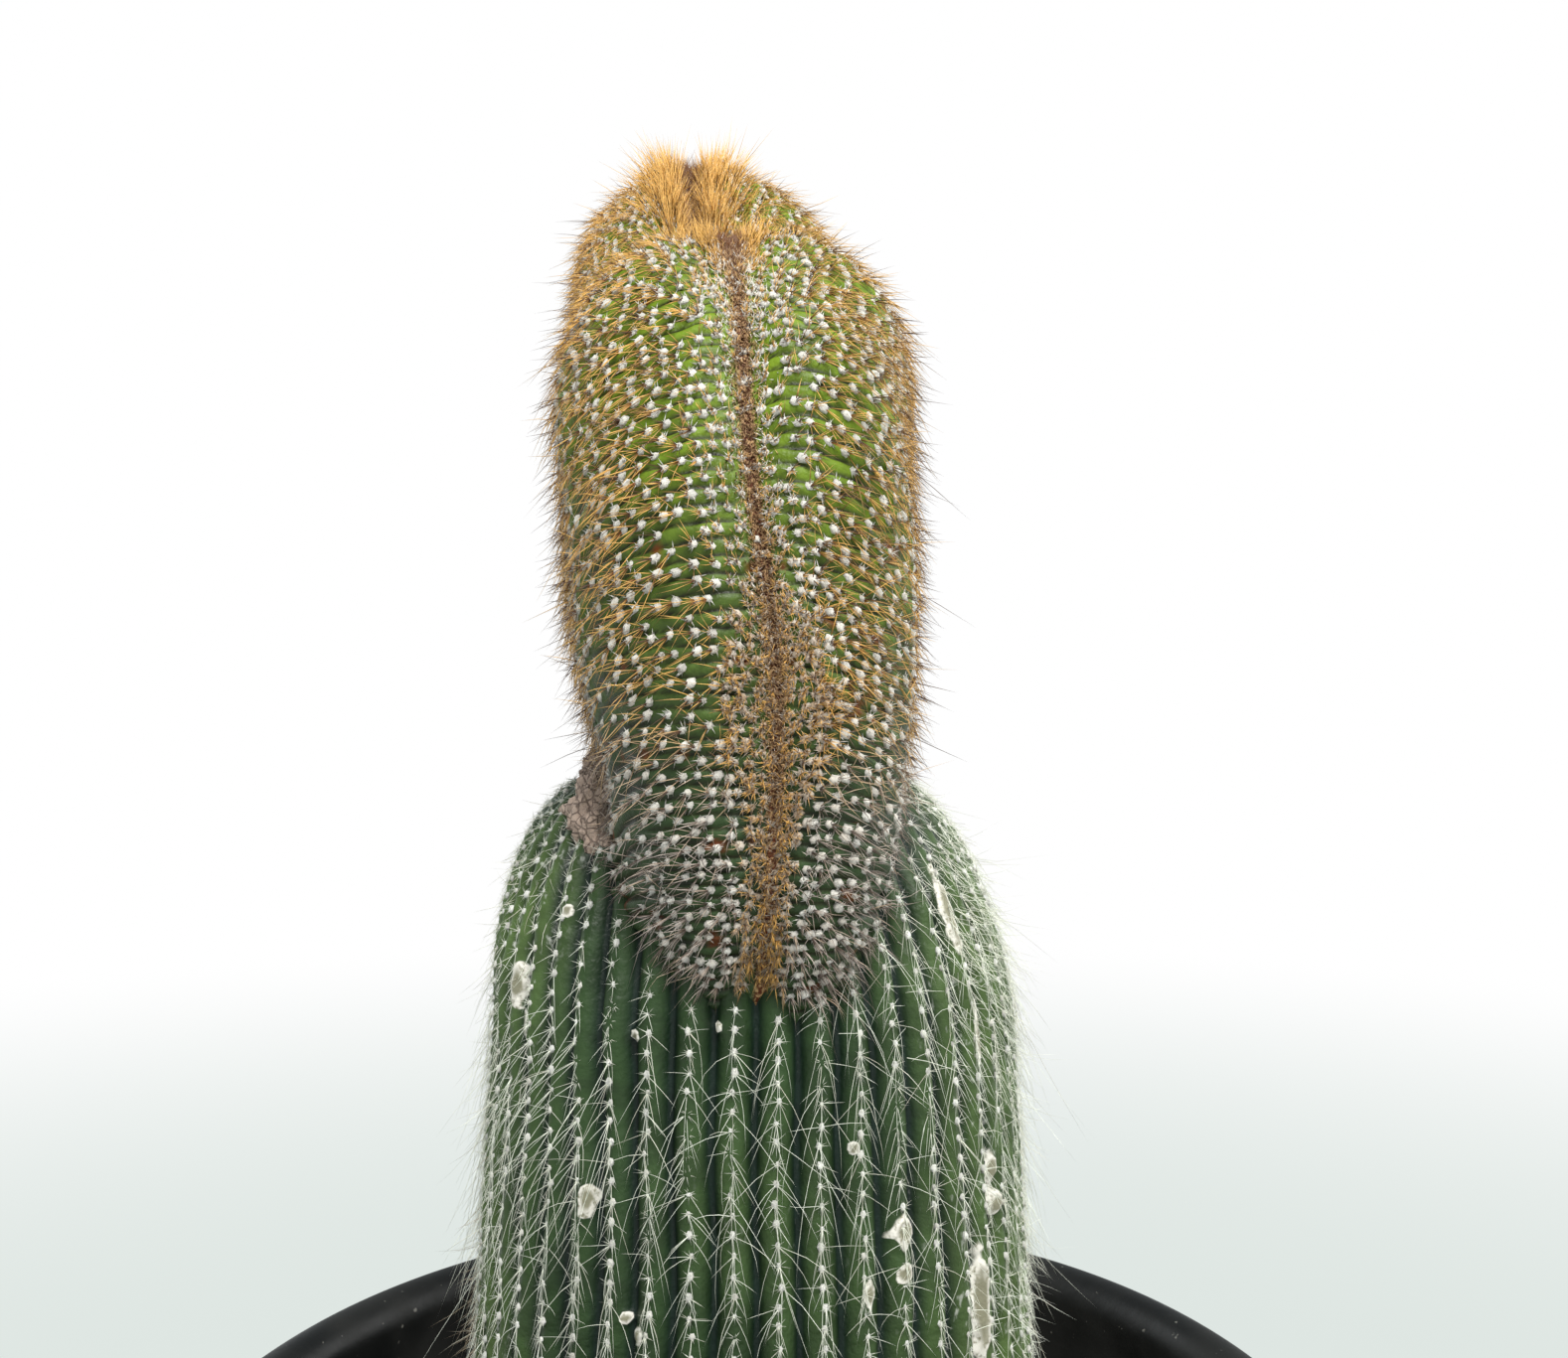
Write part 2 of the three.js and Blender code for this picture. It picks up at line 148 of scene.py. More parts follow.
class CrestSettings(bpy.types.PropertyGroup):
    front: length("Front reach", "How far the growing line lies in front of the axis", 110 * MM)
    back: length("Back reach", "How far it lies behind the axis", 124 * MM)
    front_rise: length("Front lobe", "Rise of the front lobe over the stem's top", 168 * MM)
    saddle_rise: length("Saddle", "Rise of the saddle between the lobes", 166 * MM)
    back_rise: length("Back lobe", "Rise of the back lobe", 226 * MM)
    foot_drop: length("Foot drop", "How far the crest's foot hangs under the stem's top", 52 * MM)
    hidden_drop: length("Hidden drop", "Depth of the crest's underside in the stem", 105 * MM)
    hub_drop: length("Hub drop", "Depth of the point where the ribs would meet", 40 * MM)
    half: length("Half thickness", "Half the thickness of the fan", 51 * MM)
    foot_half: length("Foot half thickness", "Half the thickness at the foot", 39 * MM)
    hub_half: length("Hub half thickness", "Half the thickness at the hub", 43 * MM)
    edge_depth: length("Edge depth", "Depth of the rounded edge", 50 * MM)
    groove: length("Groove", "Depth of the groove along the growing line", 5 * MM)
    sidestep: length("Sidestep", "How far the back lobe stands to the side", -19 * MM)
    wander: length("Wander", "Sideways wander of the growing line", 7 * MM)
    rib_pitch: length("Rib pitch", "Distance between ribs at the growing line", 4.2 * MM)
    rib_depth: length("Rib depth", "Depth of a furrow on the flank", 2.3 * MM)
    lumps: length("Lumps", "Height of the fan's slow lumps", 1.5 * MM)
    spines: count("Spines", "Spines from one areole", 10)
    # Young and old skin are partly the skin's age and partly painted light: the crest is made lighter at its
    # top and darker at its foot, as light from above falls.
    young_and_lit: colour("Young skin", "Skin near the top", 100, 124, 20)
    old: colour("Old skin", "Skin near the foot", 50, 70, 38)
    # Furrow is painted shade between the crest's ribs.
    furrow: colour("Furrow", "Skin between the ribs", 32, 34, 8)
    line: colour("Growing line", "Wool core of the growing line", 96, 46, 18)
    wool: colour("Wool", "White felt of the areoles", 253, 250, 240)
    bronze: colour("Bronze wool", "Felt of the areoles low on the line", 204, 166, 118)
    gold: colour("Gold", "Young spines", 224, 175, 94)
    amber: colour("Amber", "Roots of young spines", 104, 48, 12)
    grey: colour("Grey", "Old spines", 186, 172, 162)
    bark: colour("Bark", "Dark roots of old spines", 98, 82, 72)
    cork: colour("Cork", "Corky bark beside the crest", 214, 188, 170)


class StageSettings(bpy.types.PropertyGroup):
    floor_radius: length("Floor radius", "Radius of the pale floor", 6.0)
    fade_start: length("Fade start", "Where the floor begins to turn into even light", 0.45)
    fade_end: length("Fade end", "Where the floor is even light alone", 0.8)
    camera_side: length("Camera side", "Camera's place along X", 10.2 * MM)
    camera_front: length("Camera front", "Camera's distance in front of the axis", 493 * MM)
    camera_height: length("Camera height", "Camera's height", POT_BOX[1][2] + 253.6 * MM)
    lens: FloatProperty(name="Lens", description="Focal length on a 36 mm sensor, in mm", default=33.42)
    floor: colour("Floor", "Colour of the floor", 190, 196, 193)


# ---------------------------------------------------------------- small tools

def smoothstep(low, high, value):
    """Goes smoothly from 0 at the low value to 1 at the high one."""
    t = np.clip((value - low) / (high - low), 0, 1)
    return t * t * (3 - 2 * t)


def unit(vectors):
    """The same directions with length 1."""
    return vectors / np.maximum(np.linalg.norm(vectors, axis=-1, keepdims=True), 1e-12)


def ripple(points, size, seed, waves=9):
    """Smooth random values about 0: a sum of sines, near the given wavelength, in random directions."""
    rng = np.random.default_rng(seed)
    turns = unit(rng.normal(size=(waves, 3))) * rng.uniform(0.6, 1.6, (waves, 1)) * (FULL_TURN / size)
    phases = rng.uniform(0, FULL_TURN, waves)
    return np.sin(points @ turns.T + phases).sum(axis=-1) / math.sqrt(waves / 2)


def put_mesh(name, points, faces, attributes=None, smooth=True):
    """Makes an object at the origin from points (n, 3) and a list of face arrays, each (m, corners)."""
    mesh = bpy.data.meshes.new(name)
    mesh.vertices.add(len(points))
    mesh.vertices.foreach_set("co", np.ascontiguousarray(points, np.float32).ravel())
    corners = np.concatenate([part.ravel() for part in faces]).astype(np.int32)
    sizes = np.concatenate([np.full(len(part), part.shape[1]) for part in faces])
    mesh.loops.add(len(corners))
    mesh.loops.foreach_set("vertex_index", corners)
    mesh.polygons.add(len(sizes))
    mesh.polygons.foreach_set("loop_start", (np.cumsum(sizes) - sizes).astype(np.int32))
    mesh.polygons.foreach_set("use_smooth", np.full(len(sizes), smooth))
    mesh.update(calc_edges=True)
    for key, values in (attributes or {}).items():
        layer = mesh.attributes.new(key, "FLOAT", "POINT")
        layer.data.foreach_set("value", np.ascontiguousarray(values, np.float32).ravel())
    piece = bpy.data.objects.new(name, mesh)
    bpy.context.collection.objects.link(piece)
    return piece


def finish_piece(piece, material, node="cactus"):
    """Gives a piece its material and ties it to the frame."""
    piece.data.materials.append(material)
    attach(piece, "root")
    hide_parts(node)


def ring_faces(rows, columns):
    """Quads between rows of points that each close on themselves, points numbered row by row."""
    here = (np.arange(rows - 1)[:, None] * columns + np.arange(columns)).ravel()
    beside = (np.arange(rows - 1)[:, None] * columns + (np.arange(columns) + 1) % columns).ravel()
    return np.stack([here, beside, beside + columns, here + columns], axis=1)


def fan_faces(first, columns, centre, upward):
    """Triangles from one ring of points to its centre point."""
    here = first + np.arange(columns)
    beside = first + (np.arange(columns) + 1) % columns
    order = (here, beside) if upward else (beside, here)
    return np.stack([*order, np.full(columns, centre)], axis=1)


def capped_faces(rows, columns):
    """Faces of a closed body: rings from bottom to top, then the bottom's centre and the top's centre."""
    bottom = rows * columns
    return [
        ring_faces(rows, columns),
        np.concatenate([
            fan_faces(0, columns, bottom, False),
            fan_faces((rows - 1) * columns, columns, bottom + 1, True),
        ]),
    ]


STRAND_SIDES = 3
STRAND_TAPER = 0.65  # share of its radius that a strand has lost at its tip
PAD_SIDES = 6
PAD_RINGS = ((1.0, -0.3), (0.8, 0.55))  # radius and height of a pad's two rings
PAD_POLES = (-0.5, 1.0)  # heights of its foot point and its crown
PAD_DENT = 0.16  # how far a pad's points move in or out, as a share


def strands(roots, directions, lengths, radii, bends, segments):
    """Tapered spines or hairs as closed bodies.

    At share t of its length a strand is at root + direction * length * t + bend * length * t * t, and
    its radius is radius * (1 - taper * t); the last ring draws in to one point. Returns points,
    triangles and each point's t."""
    total, sides = len(roots), STRAND_SIDES
    directions = unit(directions)
    upright = np.abs(directions[:, 2:3]) >= 0.8
    first = unit(np.cross(directions, np.where(upright, [[1.0, 0.0, 0.0]], [[0.0, 0.0, 1.0]])))
    second = np.cross(directions, first)
    shares = np.append(np.arange(segments) / segments, 1.0)
    turns = np.arange(sides) * (FULL_TURN / sides)
    spans = lengths[:, None, None]
    spine = (roots[:, None] + directions[:, None] * spans * shares[None, :, None]
             + bends[:, None] * spans * (shares ** 2)[None, :, None])
    wheel = first[:, None, None] * np.cos(turns)[None, None, :, None]
    wheel = wheel + second[:, None, None] * np.sin(turns)[None, None, :, None]
    width = (radii[:, None] * (1 - STRAND_TAPER * shares[None, :-1]))[:, :, None, None]
    rings = spine[:, :-1, None] + wheel * width
    points = np.concatenate([rings.reshape(total, segments * sides, 3), spine[:, -1:]], axis=1)
    ring = np.arange(sides)
    beside = (ring + 1) % sides
    pattern = []
    for row in range(segments - 1):
        low, high = row * sides, (row + 1) * sides
        pattern.append(np.stack([low + ring, low + beside, high + beside], axis=1))
        pattern.append(np.stack([low + ring, high + beside, high + ring], axis=1))
    last = (segments - 1) * sides
    pattern.append(np.stack([last + ring, last + beside, np.full(sides, segments * sides)], axis=1))
    pattern.append(np.stack([np.zeros(sides - 2, int), beside[1:-1], ring[1:-1]], axis=1))
    pattern = np.concatenate(pattern)
    offsets = (np.arange(total) * (segments * sides + 1))[:, None, None]
    along = np.append(np.repeat(shares[:-1], sides), 1.0)
    return points.reshape(-1, 3), (pattern[None] + offsets).reshape(-1, 3), np.tile(along, total)


def put_strands(name, roots, directions, lengths, radii, bends, segments, traits, rows=slice(None)):
    """One object of many strands, or of the chosen rows of them.

    Lengths, radii and bends are arrays or one value for all. Each trait has one value for a strand;
    the attribute along runs from 0 at the root to 1 at the tip."""
    total = len(roots)
    lengths, radii = (np.broadcast_to(values, total)[rows] for values in (lengths, radii))
    bends = np.broadcast_to(bends, (total, 3))[rows]
    points, faces, along = strands(roots[rows], directions[rows], lengths, radii, bends, segments)
    per_strand = segments * STRAND_SIDES + 1
    attributes = {key: np.repeat(values[rows], per_strand) for key, values in traits.items()}
    return put_mesh(name, points, [faces], {**attributes, "along": along})


def pad_shape():
    """A small closed dome: a ring at its foot, a ring half way up, a foot point and a crown point."""
    turns = np.arange(PAD_SIDES) * (FULL_TURN / PAD_SIDES)
    circle = np.stack([np.cos(turns), np.sin(turns)], axis=1)
    rings = [np.column_stack([circle * radius, np.full(PAD_SIDES, height)]) for radius, height in PAD_RINGS]
    points = np.concatenate([*rings, [[0, 0, height] for height in PAD_POLES]])
    quads, caps = capped_faces(2, PAD_SIDES)
    return points, np.concatenate([quads[:, [0, 1, 2]], quads[:, [0, 2, 3]], caps])


def put_pads(name, origins, along, across, normals, sizes, seed, traits, smooth=True):
    """One object of many domes: origin + x along + y across + z normal, scaled, each a bit dented.

    Each trait has one value for a dome."""
    shape, faces = pad_shape()
    total, per_pad = len(origins), len(shape)
    dents = 1 + np.random.default_rng(seed).uniform(-PAD_DENT, PAD_DENT, (total, per_pad, 1))
    local = shape[None] * dents * sizes[:, None]
    placed = (origins[:, None] + local[..., 0:1] * along[:, None] + local[..., 1:2] * across[:, None]
              + local[..., 2:3] * normals[:, None])
    offsets = (np.arange(total) * per_pad)[:, None, None]
    attributes = {key: np.repeat(values, per_pad) for key, values in traits.items()}
    return put_mesh(name, placed.reshape(-1, 3), [(faces[None] + offsets).reshape(-1, 3)], attributes, smooth)


# ---------------------------------------------------------------- shape of the stem

MID_TAPER_POWER = 1.4
FOOT_POWER = 2.2


def stem_heights():
    """Heights of the stem's foot, the potting mix, the shoulder and the stem's top."""
    scene = bpy.context.scene
    soil = scene.cactus_pot.height - scene.cactus_soil.below_rim
    top = scene.cactus_pot.height + scene.cactus_stem.above_rim
    return soil - scene.cactus_stem.buried, soil, top - scene.cactus_stem.shoulder_drop, top


def over_top(points):
    """Height of points over the stem's top."""
    return points[..., 2] - stem_heights()[3]


def stem_radius(z):
    """Radius over the ribs: a slow taper, a quarter-ellipse shoulder, and a rounded buried foot."""
    stem = bpy.context.scene.cactus_stem
    _, soil, shoulder, _ = stem_heights()
    at_shoulder = stem.radius * (1 - stem.taper)
    rise = np.clip((z - shoulder) / stem.shoulder_drop, 0, 1)
    upper = stem.top_radius + (at_shoulder - stem.top_radius) * np.sqrt(1 - rise * rise)
    middle = stem.radius * (1 - stem.taper * np.clip((z - soil) / (shoulder - soil), 0, 1) ** MID_TAPER_POWER)
    depth = np.clip((soil - z) / stem.buried, 0, 1)
    lower = stem.radius + (stem.root_crown - stem.radius) * depth ** FOOT_POWER
    return np.where(z >= shoulder, upper, np.where(z >= soil, middle, lower))


def stem_lean(z):
    """Sideways place of the stem's axis: it leans from the shoulder up."""
    _, _, shoulder, top = stem_heights()
    return -bpy.context.scene.cactus_stem.lean * smoothstep(shoulder, top, z)


def stem_frame(turn, z):
    """Point over the ribs at an angle and height, with its sideways, upward and outward directions.

    The ribs wander sideways by about a millimetre, so the angle is shifted by a slow ripple."""
    radius = stem_radius(z)
    upright = np.stack([np.cos(turn) * radius, np.sin(turn) * radius, z], axis=-1)
    turn = turn + ripple(upright, 110 * MM, 11) * 0.8 * MM / radius
    step = 0.5 * MM
    slope = (stem_radius(z + step) - stem_radius(z - step)) / (2 * step)
    circle = np.stack([np.cos(turn), np.sin(turn), np.zeros_like(turn)], axis=-1)
    point = circle * radius[..., None]
    point[..., 0] += stem_lean(z)
    point[..., 2] = z
    sideways = np.stack([-np.sin(turn), np.cos(turn), np.zeros_like(turn)], axis=-1)
    upward = circle * slope[..., None]
    upward[..., 2] = 1
    upward = unit(upward)
    return point, sideways, upward, np.cross(sideways, upward)


def stem_levels(steps, low, high):
    """Heights that lie evenly spaced along the stem's outline between two heights."""
    fine = np.linspace(low, high, 4000)
    runs = np.hypot(np.diff(fine), np.diff(stem_radius(fine)))
    run = np.append(0, np.cumsum(runs))
    return np.interp(np.linspace(0, run[-1], steps), run, fine)


def inside_stem(points, margin=0.0):
    """Whether points lie in the stem, deeper than the margin."""
    z = points[..., 2]
    away = np.hypot(points[..., 0] - stem_lean(z), points[..., 1])
    return (away < stem_radius(z) - margin) & (over_top(points) < 0)


# ---------------------------------------------------------------- shape of the crest

ARCH_SHARE = 0.62  # |u| at which the section's arch ends and its flat flank begins
GROOVE_WIDTH = 0.26  # half width of the groove, as an angle of the arch
LINE_U = 1e-6  # u on the growing line itself, just off 0 so that it has a side
FRONT_KNOT, BACK_KNOT = 1.75, 15.2  # where the growing line leaves the stem and enters it again
LOBE_KNOTS = np.array([6.3, 12.4])  # from the front lobe's top to the back lobe's


def crest_outline():
    """The growing line in the plane x = 0, from the hidden underside over the lobes and back.

    Each row is y, height over the stem's top, half thickness, sidestep and wander."""
    crest = bpy.context.scene.cactus_crest
    front, back, thick, step, wander = -crest.front, crest.back, crest.half, crest.sidestep, crest.wander
    foot, drop, hidden = crest.foot_half, crest.foot_drop, crest.hidden_drop
    rise_f, rise_s, rise_b = crest.front_rise, crest.saddle_rise, crest.back_rise
    return np.array([
        [0, -hidden, foot, 0, 0],
        [0.50 * front, -0.95 * hidden, foot, 0, 0],
        [0.82 * front, -drop, foot, 0, 0.6 * wander],
        [0.96 * front, -0.42 * drop, 0.80 * thick, 0, wander],
        [front, 0.20 * rise_f, 0.88 * thick, -0.15 * step, 0.8 * wander],
        [0.95 * front, 0.55 * rise_f, 0.97 * thick, 0.15 * step, 0.6 * wander],
        [0.77 * front, 0.86 * rise_f, 1.02 * thick, 0.15 * step, 0],
        [0.48 * front, rise_f, 1.04 * thick, 0.2 * step, -0.5 * wander],
        [0.11 * front, rise_s, 0.98 * thick, 0.5 * step, -0.5 * wander],
        [0.20 * back, 0.5 * (rise_s + rise_b), 0.93 * thick, 0.85 * step, -wander],
        [0.50 * back, rise_b, 0.93 * thick, step, -wander],
        [0.82 * back, 0.88 * rise_b, 0.95 * thick, step, 0],
        [0.98 * back, 0.62 * rise_b, thick, 0.7 * step, 0.5 * wander],
        [back, 0.32 * rise_b, 0.96 * thick, 0.3 * step, 0.5 * wander],
        [0.90 * back, 0.02 * rise_b, 0.90 * thick, 0, 0],
        [0.74 * back, -0.85 * drop, foot, 0, 0],
        [0.45 * back, -0.95 * hidden, foot, 0, 0],
    ])


def loop_curve(knots, t):
    """Closed centripetal Catmull-Rom curve through the knots, at t from 0 up to 1."""
    place = (t % 1) * len(knots)
    start = np.floor(place).astype(int)
    w = (place - start)[:, None]
    a, b, c, d = (knots[(start + k) % len(knots)] for k in (-1, 0, 1, 2))
    pairs = ((a, b), (b, c), (c, d))
    gap_in, gap, gap_out = (
        np.sqrt(np.linalg.norm(after - before, axis=1))[:, None] for before, after in pairs)
    gap = np.where(gap < 1e-4, 1.0, gap)
    gap_in = np.where(gap_in < 1e-4, gap, gap_in)
    gap_out = np.where(gap_out < 1e-4, gap, gap_out)
    leave = ((b - a) / gap_in - (c - a) / (gap_in + gap) + (c - b) / gap) * gap
    arrive = ((c - b) / gap - (d - b) / (gap + gap_out) + (d - c) / gap_out) * gap
    squared, cubed = 3 * (c - b) - 2 * leave - arrive, 2 * (b - c) + leave + arrive
    return b + leave * w + squared * w ** 2 + cubed * w ** 3


def crest_line():
    """Fine table of the growing line: curve place t, arc length s, and the knots."""
    knots = crest_outline()
    knots[:, 1] += stem_heights()[3]
    t = np.linspace(0, 1, 3001)
    line = loop_curve(knots[:, :2], t)
    s = np.append(0, np.cumsum(np.linalg.norm(np.diff(line, axis=0), axis=1)))
    return knots, t, s


def crest_section(s):
    """At arc length s: the line's y and z from the hub, half thickness, sidestep, wander; and the hub's z."""
    knots, t, table = crest_line()
    place = np.interp(s % table[-1], table, t)
    edge = loop_curve(knots[:, :2], place)
    traits = loop_curve(knots[:, 2:], place)
    hub = stem_heights()[3] - bpy.context.scene.cactus_crest.hub_drop
    return edge[:, 0], edge[:, 1] - hub, traits[:, 0], traits[:, 1], traits[:, 2], hub


def crest_frame(s, u):
    """Point of the fan's smooth skin, and how far it lies out towards the line as a share.

    s runs along the growing line and u across it from -1 on the left hub to 1 on the right one. Up to
    |u| = ARCH_SHARE the section is a quarter ellipse of half thickness by edge depth, with a groove
    at the line; from there the flank runs straight in to the hub. Slow lumps push the skin in and out.
    Returns the point, the outward direction and the share of the radius."""
    crest = bpy.context.scene.cactus_crest
    edge_y, edge_z, half, side, wander, hub = crest_section(s)
    reach = np.hypot(edge_y, edge_z)
    bend = np.pi / 2 * np.minimum(np.abs(u) / ARCH_SHARE, 1)
    inward = np.maximum(np.abs(u) - ARCH_SHARE, 0) / (1 - ARCH_SHARE)
    groove = crest.groove * np.exp(-(bend / GROOVE_WIDTH) ** 2)
    radial = (reach - crest.edge_depth * (1 - np.cos(bend)) - groove) * (1 - inward)
    thickness = (half + (crest.hub_half - half) * inward) * np.sin(bend)
    x = side * (1 - inward) + np.sign(u) * thickness + wander * (1 - np.sin(bend))
    point = np.stack([x, edge_y / reach * radial, hub + edge_z / reach * radial], axis=-1)
    outward = np.stack([np.sign(u) * np.sin(bend), np.cos(bend) * edge_y / reach,
                        np.cos(bend) * edge_z / reach], axis=-1)
    outward = unit(outward)
    lump = ripple(point, 75 * MM, 21) * crest.lumps * smoothstep(0, 0.25, bend)
    return point + outward * lump[:, None], outward, radial / reach


def crest_axes(s, u):
    """Point, direction away from the growing line, direction along it, and outward direction."""
    point, outward, _ = crest_frame(s, u)
    step_u = np.where(u < 0, -0.004, 0.004)
    away = crest_frame(s, u + step_u)[0] - point
    along = crest_frame(s + 0.4 * MM, u)[0] - point
    normal = unit(np.cross(along, away))
    normal *= np.sign((normal * outward).sum(axis=1))[:, None]
    return point, unit(away), unit(along), normal


def crest_across(distance, s):
    """The |u| that lies at a distance across from the line."""
    edge_y, edge_z, half, _, _, _ = crest_section(s)
    depth = bpy.context.scene.cactus_crest.edge_depth
    arch = np.pi / 2 * np.sqrt((half ** 2 + depth ** 2) / 2)
    flank = np.hypot(edge_y, edge_z) - depth
    beyond = np.maximum(distance - arch, 0) / flank
    return ARCH_SHARE * np.minimum(distance / arch, 1) + (1 - ARCH_SHARE) * np.minimum(beyond, 1)


def rib_wander(s, u):
    """Shift of the ribs, in ribs, which makes them wave and keeps left and right apart.

    The ribs also leave the line at a slant, downhill, and then hang less than the fan's section does.
    So the shift is a sum of sines of s and u, plus the line's climb times a slant."""
    side = np.sign(u)
    step = 2 * MM
    before, after = crest_section(s - step)[1], crest_section(s + step)[1]
    climb = (after - before) / (2 * step)
    bend = np.pi / 2 * np.minimum(np.abs(u) / ARCH_SHARE, 1)
    high = smoothstep(10 * MM, 110 * MM, after)
    slant = 5.5 * MM * (1 - np.exp(-bend / 0.16)) - 17 * MM * (1 - np.cos(bend)) * high
    waves = (0.45 * np.sin(s / (45 * MM) + 1.7 * side) + 0.30 * np.sin(s / (21 * MM) + 5 * u + 2 * side)
             + 0.35 * np.sin(9 * u + s / (60 * MM) + side) + 0.25 * side)
    return waves + climb * slant / bpy.context.scene.cactus_crest.rib_pitch


def crest_relief(s, u, out_share):
    """Depth under the rib tops, and 0 in a furrow to 1 on a rib.

    The ribs are counted from the growing line. Further in, two ribs run together into one, and near
    the hub two of those do, so the ribs stay about as wide all over the fan."""
    crest = bpy.context.scene.cactus_crest
    phase = s / crest.rib_pitch + rib_wander(s, u)
    double = (phase - 0.5) / 2
    quadruple = (double - 0.5) / 2
    shapes = [1 - np.abs(np.cos(np.pi * p)) ** 0.75 for p in (phase, double, quadruple)]
    outer = smoothstep(0.78, 0.90, out_share)
    inner = smoothstep(0.26, 0.34, out_share)
    near_line = smoothstep(0, 0.06, np.abs(u))
    depth = crest.rib_depth * (0.55 * outer + (1 - outer) * (0.9 + 0.1 * inner)) * near_line
    furrow = outer * shapes[0] + (1 - outer) * (inner * shapes[1] + (1 - inner) * shapes[2])
    return depth * furrow, 1 - furrow * near_line


def crest_ends():
    """Arc lengths where the growing line leaves the stem at the front and enters it at the back."""
    knots, t, table = crest_line()
    front, back = (np.interp(knot / len(knots), t, table) for knot in (FRONT_KNOT, BACK_KNOT))
    return front, back, table[-1]


def inside_crest(points, margin=0.0):
    """Whether points lie in the fan: their direction from the hub picks the section."""
    crest = bpy.context.scene.cactus_crest
    _, _, table = crest_line()
    s = np.linspace(0, table[-1], 1500, endpoint=False)
    edge_y, edge_z, half, side, _, hub = crest_section(s)
    bearings = np.unwrap(np.arctan2(edge_z, edge_y))
    order = np.argsort(bearings)
    want = np.arctan2(points[:, 2] - hub, points[:, 1])
    low = bearings.min()
    want = low + (want - low) % FULL_TURN
    reach, half, side = (np.interp(want, bearings[order], values[order])
                         for values in (np.hypot(edge_y, edge_z), half, side))
    distance = np.hypot(points[:, 1], points[:, 2] - hub)
    flank = reach - crest.edge_depth
    inward = np.clip(1 - distance / flank, 0, 1)
    bend = np.arccos(np.clip(1 - (reach - distance) / crest.edge_depth, 0, 1))
    thickness = np.where(distance > flank, half * np.sin(bend), half + (crest.hub_half - half) * inward)
    return (distance < reach) & (np.abs(points[:, 0] - side * (1 - inward)) < thickness - margin)


AREOLE_ROWS = 48


def crest_areoles():
    """Places of the crest's areoles: s, u and distance from the line, one row after another per rib."""
    crest = bpy.context.scene.cactus_crest
    start, end, _ = crest_ends()
    rng = np.random.default_rng(31)
    steps = np.minimum(2.7 + 0.6 * np.arange(AREOLE_ROWS), 7.2) * MM
    rows = 1.6 * MM + np.append(0, np.cumsum(steps))
    rows = rows[rows < 0.30]
    first, last = int(start / crest.rib_pitch), int(end / crest.rib_pitch)
    rib, row, side = (grid.ravel() for grid in np.meshgrid(
        np.arange(first, last + 1), np.arange(len(rows)), [-1, 1], indexing="ij"))
    row_step = np.append(steps, steps[-1])[np.minimum(row, AREOLE_ROWS - 1)]
    distance = rows[row] + np.where(rib % 2, 0.5, 0.0) * row_step
    distance = distance * (1 + 0.09 * np.sin(2.3 * rib + 1.3 * side)) + rng.normal(0, 0.75, len(rib)) * MM
    distance = np.maximum(distance, 0.8 * MM)
    s = rib * crest.rib_pitch
    u = side * crest_across(distance, s)
    out_share = crest_frame(s, u)[2]
    merged = out_share < 0.84
    rib_place = np.where(merged, rib + 0.5, rib.astype(float))
    for _ in range(6):
        s = (rib_place - rib_wander(s, u)) * crest.rib_pitch
    keep = (~merged | (rib % 2 == 0)) & (np.abs(u) < 0.97) & (s > start) & (s < end)
    keep &= ~((out_share < 0.30) & (rib % 4 != 0))
    keep &= rng.uniform(size=len(rib)) < 0.95
    s = s + rng.normal(0, 0.5, len(s)) * MM
    s, u, distance = s[keep], u[keep], distance[keep]
    point = crest_frame(s, u)[0]
    usual = bronze(distance, point) < 0.5
    close = rosettes(start, end, rng)
    s, u, distance = (np.concatenate([mine[usual], more]) for mine, more in zip((s, u, distance), close))
    point = crest_frame(s, u)[0]
    clear = ~inside_stem(point, -0.5 * MM)
    return s[clear], u[clear], distance[clear]


def rosettes(start, end, rng):
    """Close-set areoles beside the lower growing line: s, u and distance on a jittered grid."""
    pitch = 2.9 * MM
    s, distance = (grid.ravel() for grid in np.meshgrid(
        np.arange(start, end, pitch), np.arange(-22 * MM, 22 * MM, 2.7 * MM), indexing="ij"))
    s = s + rng.normal(0, 0.6, len(s)) * MM
    distance = distance + rng.normal(0, 0.6, len(s)) * MM
    side = np.sign(distance)
    distance = np.maximum(np.abs(distance), 1.2 * MM)
    u = side * crest_across(distance, s)
    chosen = bronze(distance, crest_frame(s, u)[0]) >= 0.5
    return s[chosen], u[chosen], distance[chosen]


# ---------------------------------------------------------------- shader tools

def rgba(value):
    """A colour property or tuple as four numbers; a socket stays as it is."""
    return value if isinstance(value, bpy.types.NodeSocket) else (*value[:3], 1.0)


def feed(tree, socket, value):
    """Links a socket's value into an input, or sets a constant there."""
    if isinstance(value, bpy.types.NodeSocket):
        tree.links.new(value, socket)
    else:
        socket.default_value = value


def new_node(tree, kind, inputs=None, **settings):
    """Adds a node, sets its options, and sets or links its inputs by name or number."""
    node = tree.nodes.new(kind)
    for key, value in settings.items():
        setattr(node, key, value)
    for key, value in (inputs or {}).items():
        feed(tree, node.inputs[key], value)
    return node


def blend(tree, factor, first, second):
    """Colour from first at factor 0 to second at 1."""
    node = new_node(tree, "ShaderNodeMix", {0: factor, 6: rgba(first), 7: rgba(second)}, data_type="RGBA")
    return node.outputs[2]


def shaded(tree, tint, value):
    """A colour made darker or lighter by a value round 1."""
    return new_node(tree, "ShaderNodeHueSaturation", {"Color": tint, "Value": value}).outputs[0]


def maths(tree, operation, first, second):
    """One sum of two values."""
    return new_node(tree, "ShaderNodeMath", {0: first, 1: second}, operation=operation).outputs[0]


